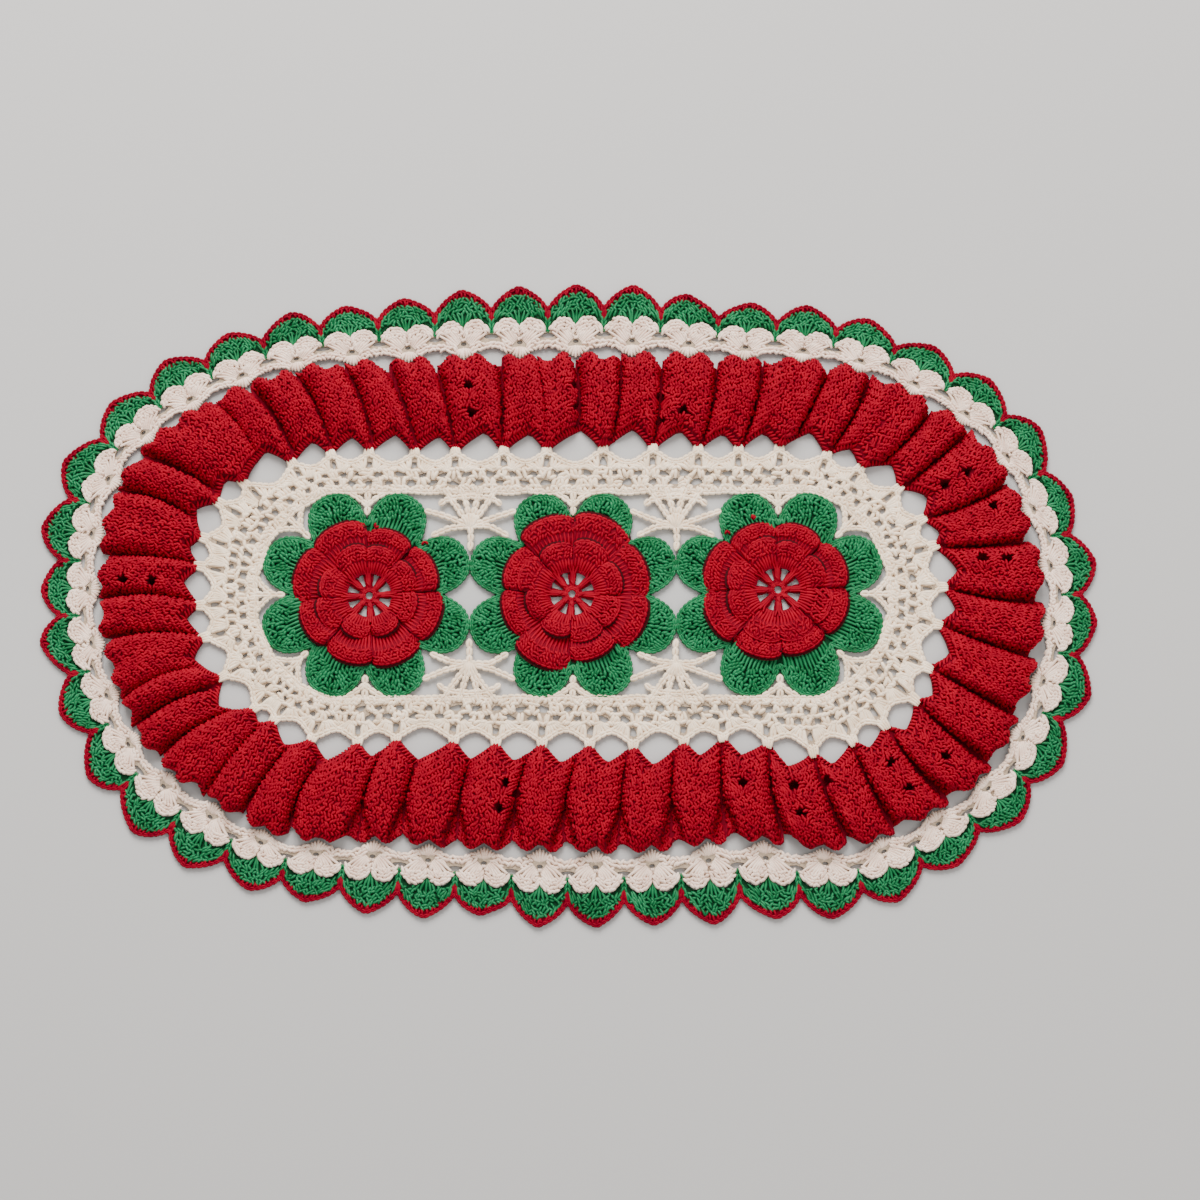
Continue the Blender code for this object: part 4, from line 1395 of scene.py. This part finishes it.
FLOOR_HALF = 3.0                # in metres
SKY_STRENGTH = 0.84
# Lights: name, place and side in metres, watts
LIGHTS = (("window", (-0.15, 1.0, 0.95), 0.8, 38.0), ("fill", (0.9, -0.3, 1.2), 1.2, 6.0))
PHOTO_SIZE = 1200               # pixels a side
PIXEL = 0.377                   # millimetres of the table for one pixel across
PHOTO_MIDDLE = Vector((568.0, 602.5))       # pixel where the layout's origin lies
CAMERA_ELEVATION = radians(80.0)
CAMERA_DISTANCE = 1100.0


def aim_object(name, data, place, along):
    """Places a light or a camera, turned to look along a direction."""
    aimed = linked_object(name, data)
    aimed.location = place
    aimed.rotation_mode = "QUATERNION"
    aimed.rotation_quaternion = along.to_track_quat("-Z", "Y")
    return aimed


def make_stage():
    build = bmesh.new()
    bmesh.ops.create_grid(build, x_segments=1, y_segments=1, size=FLOOR_HALF)
    floor_piece = linked_object("floor", finished_mesh("floor", build))
    paint = bpy.data.materials.new("matt_floor")
    set_shader(paint, Base_Color=linear("#B6B3B0"), Roughness=0.8)
    floor_piece.data.materials.append(paint)
    world = bpy.data.worlds.new("soft_room")
    bpy.context.scene.world = world
    world.use_nodes = True
    sky = world.node_tree.nodes["Background"]
    sky.inputs["Color"].default_value = linear("#FFFFFF")
    sky.inputs["Strength"].default_value = SKY_STRENGTH
    for name, place, size, power in LIGHTS:
        light = bpy.data.lights.new(name, "AREA")
        light.size = size
        light.energy = power
        aim_object(name, light, place, -Vector(place))


def make_camera():
    """A camera at the photo's angle: the table point in the middle of its frame is its aim."""
    off = Vector((PHOTO_SIZE / 2, PHOTO_SIZE / 2)) - PHOTO_MIDDLE
    aim = Vector((off.x * PIXEL, -off.y * PIXEL / sin(CAMERA_ELEVATION), 0.0)) - MIDDLE
    back = Vector((0.0, -cos(CAMERA_ELEVATION), sin(CAMERA_ELEVATION)))
    data = bpy.data.cameras.new("camera")
    data.sensor_width = 36.0
    data.lens = data.sensor_width * CAMERA_DISTANCE / (PHOTO_SIZE * PIXEL)
    bpy.context.scene.camera = aim_object(
        "camera", data, (aim + back * CAMERA_DISTANCE) * MM, -back)


def main():
    # Thread: name, light and dark colour, roughness, sheen, gloss. The red is dyed deep and
    # shines least; the green keeps a soft highlight along each strand; the ecru is undyed.
    # the insides: each cotton painted darker, as painted shade of the gaps between its strands
    red_painted_shade = painted_shade_cloth("red_cloth_painted_shade", "#76081C")
    red = Cotton("red_cotton", cotton_thread(
        "red_mercerised_cotton", "#980420", "#7E031A", 0.62, 0.0, 0.06), red_painted_shade)
    # the edging's red is the same cotton painted darker all round: painted shade of the edging's
    # shaded lower side
    red_with_painted_shade = Cotton("red_cotton", cotton_thread(
        "red_mercerised_cotton_with_painted_shade", "#8A0420", "#6E0218", 0.62, 0.0, 0.06), red_painted_shade)
    green = Cotton("green_cotton", cotton_thread(
        "green_mercerised_cotton", "#25784A", "#115A30", 0.42, 0.0),
        painted_shade_cloth("green_cloth_painted_shade", "#0F3C22"))
    ecru_painted_shade = painted_shade_cloth("ecru_cloth_painted_shade", "#B8A28A")
    ecru = Cotton("ecru_cotton", cotton_thread(
        "ecru_cotton_thread", "#FFE9CE", "#E9D0B2", 0.6, 0.1), ecru_painted_shade)
    # the border's ecru has taken a little colour from the red beside it
    blush = Cotton("ecru_cotton", cotton_thread(
        "ecru_cotton_thread_tinged_by_red", "#FBE2CF", "#E6C8B4", 0.6, 0.1), ecru_painted_shade)
    # painted shadow: where a petal's rolled rim turns under, the cloth is painted near black-red
    # for the shadow in the gap between rose and leaves
    painted_rim_shadow = painted_shade_cloth("red_cloth_painted_shadow_under_rims", "#3E0A10")
    make_camera()
    make_stage()
    make_edging(red_with_painted_shade)
    make_fans(green)
    make_border(blush)
    make_ruffle(red)
    make_ground(ecru)
    for rose in ROSES:
        make_leaves(rose, green)
        make_rose(rose, red, painted_rim_shadow)


main()
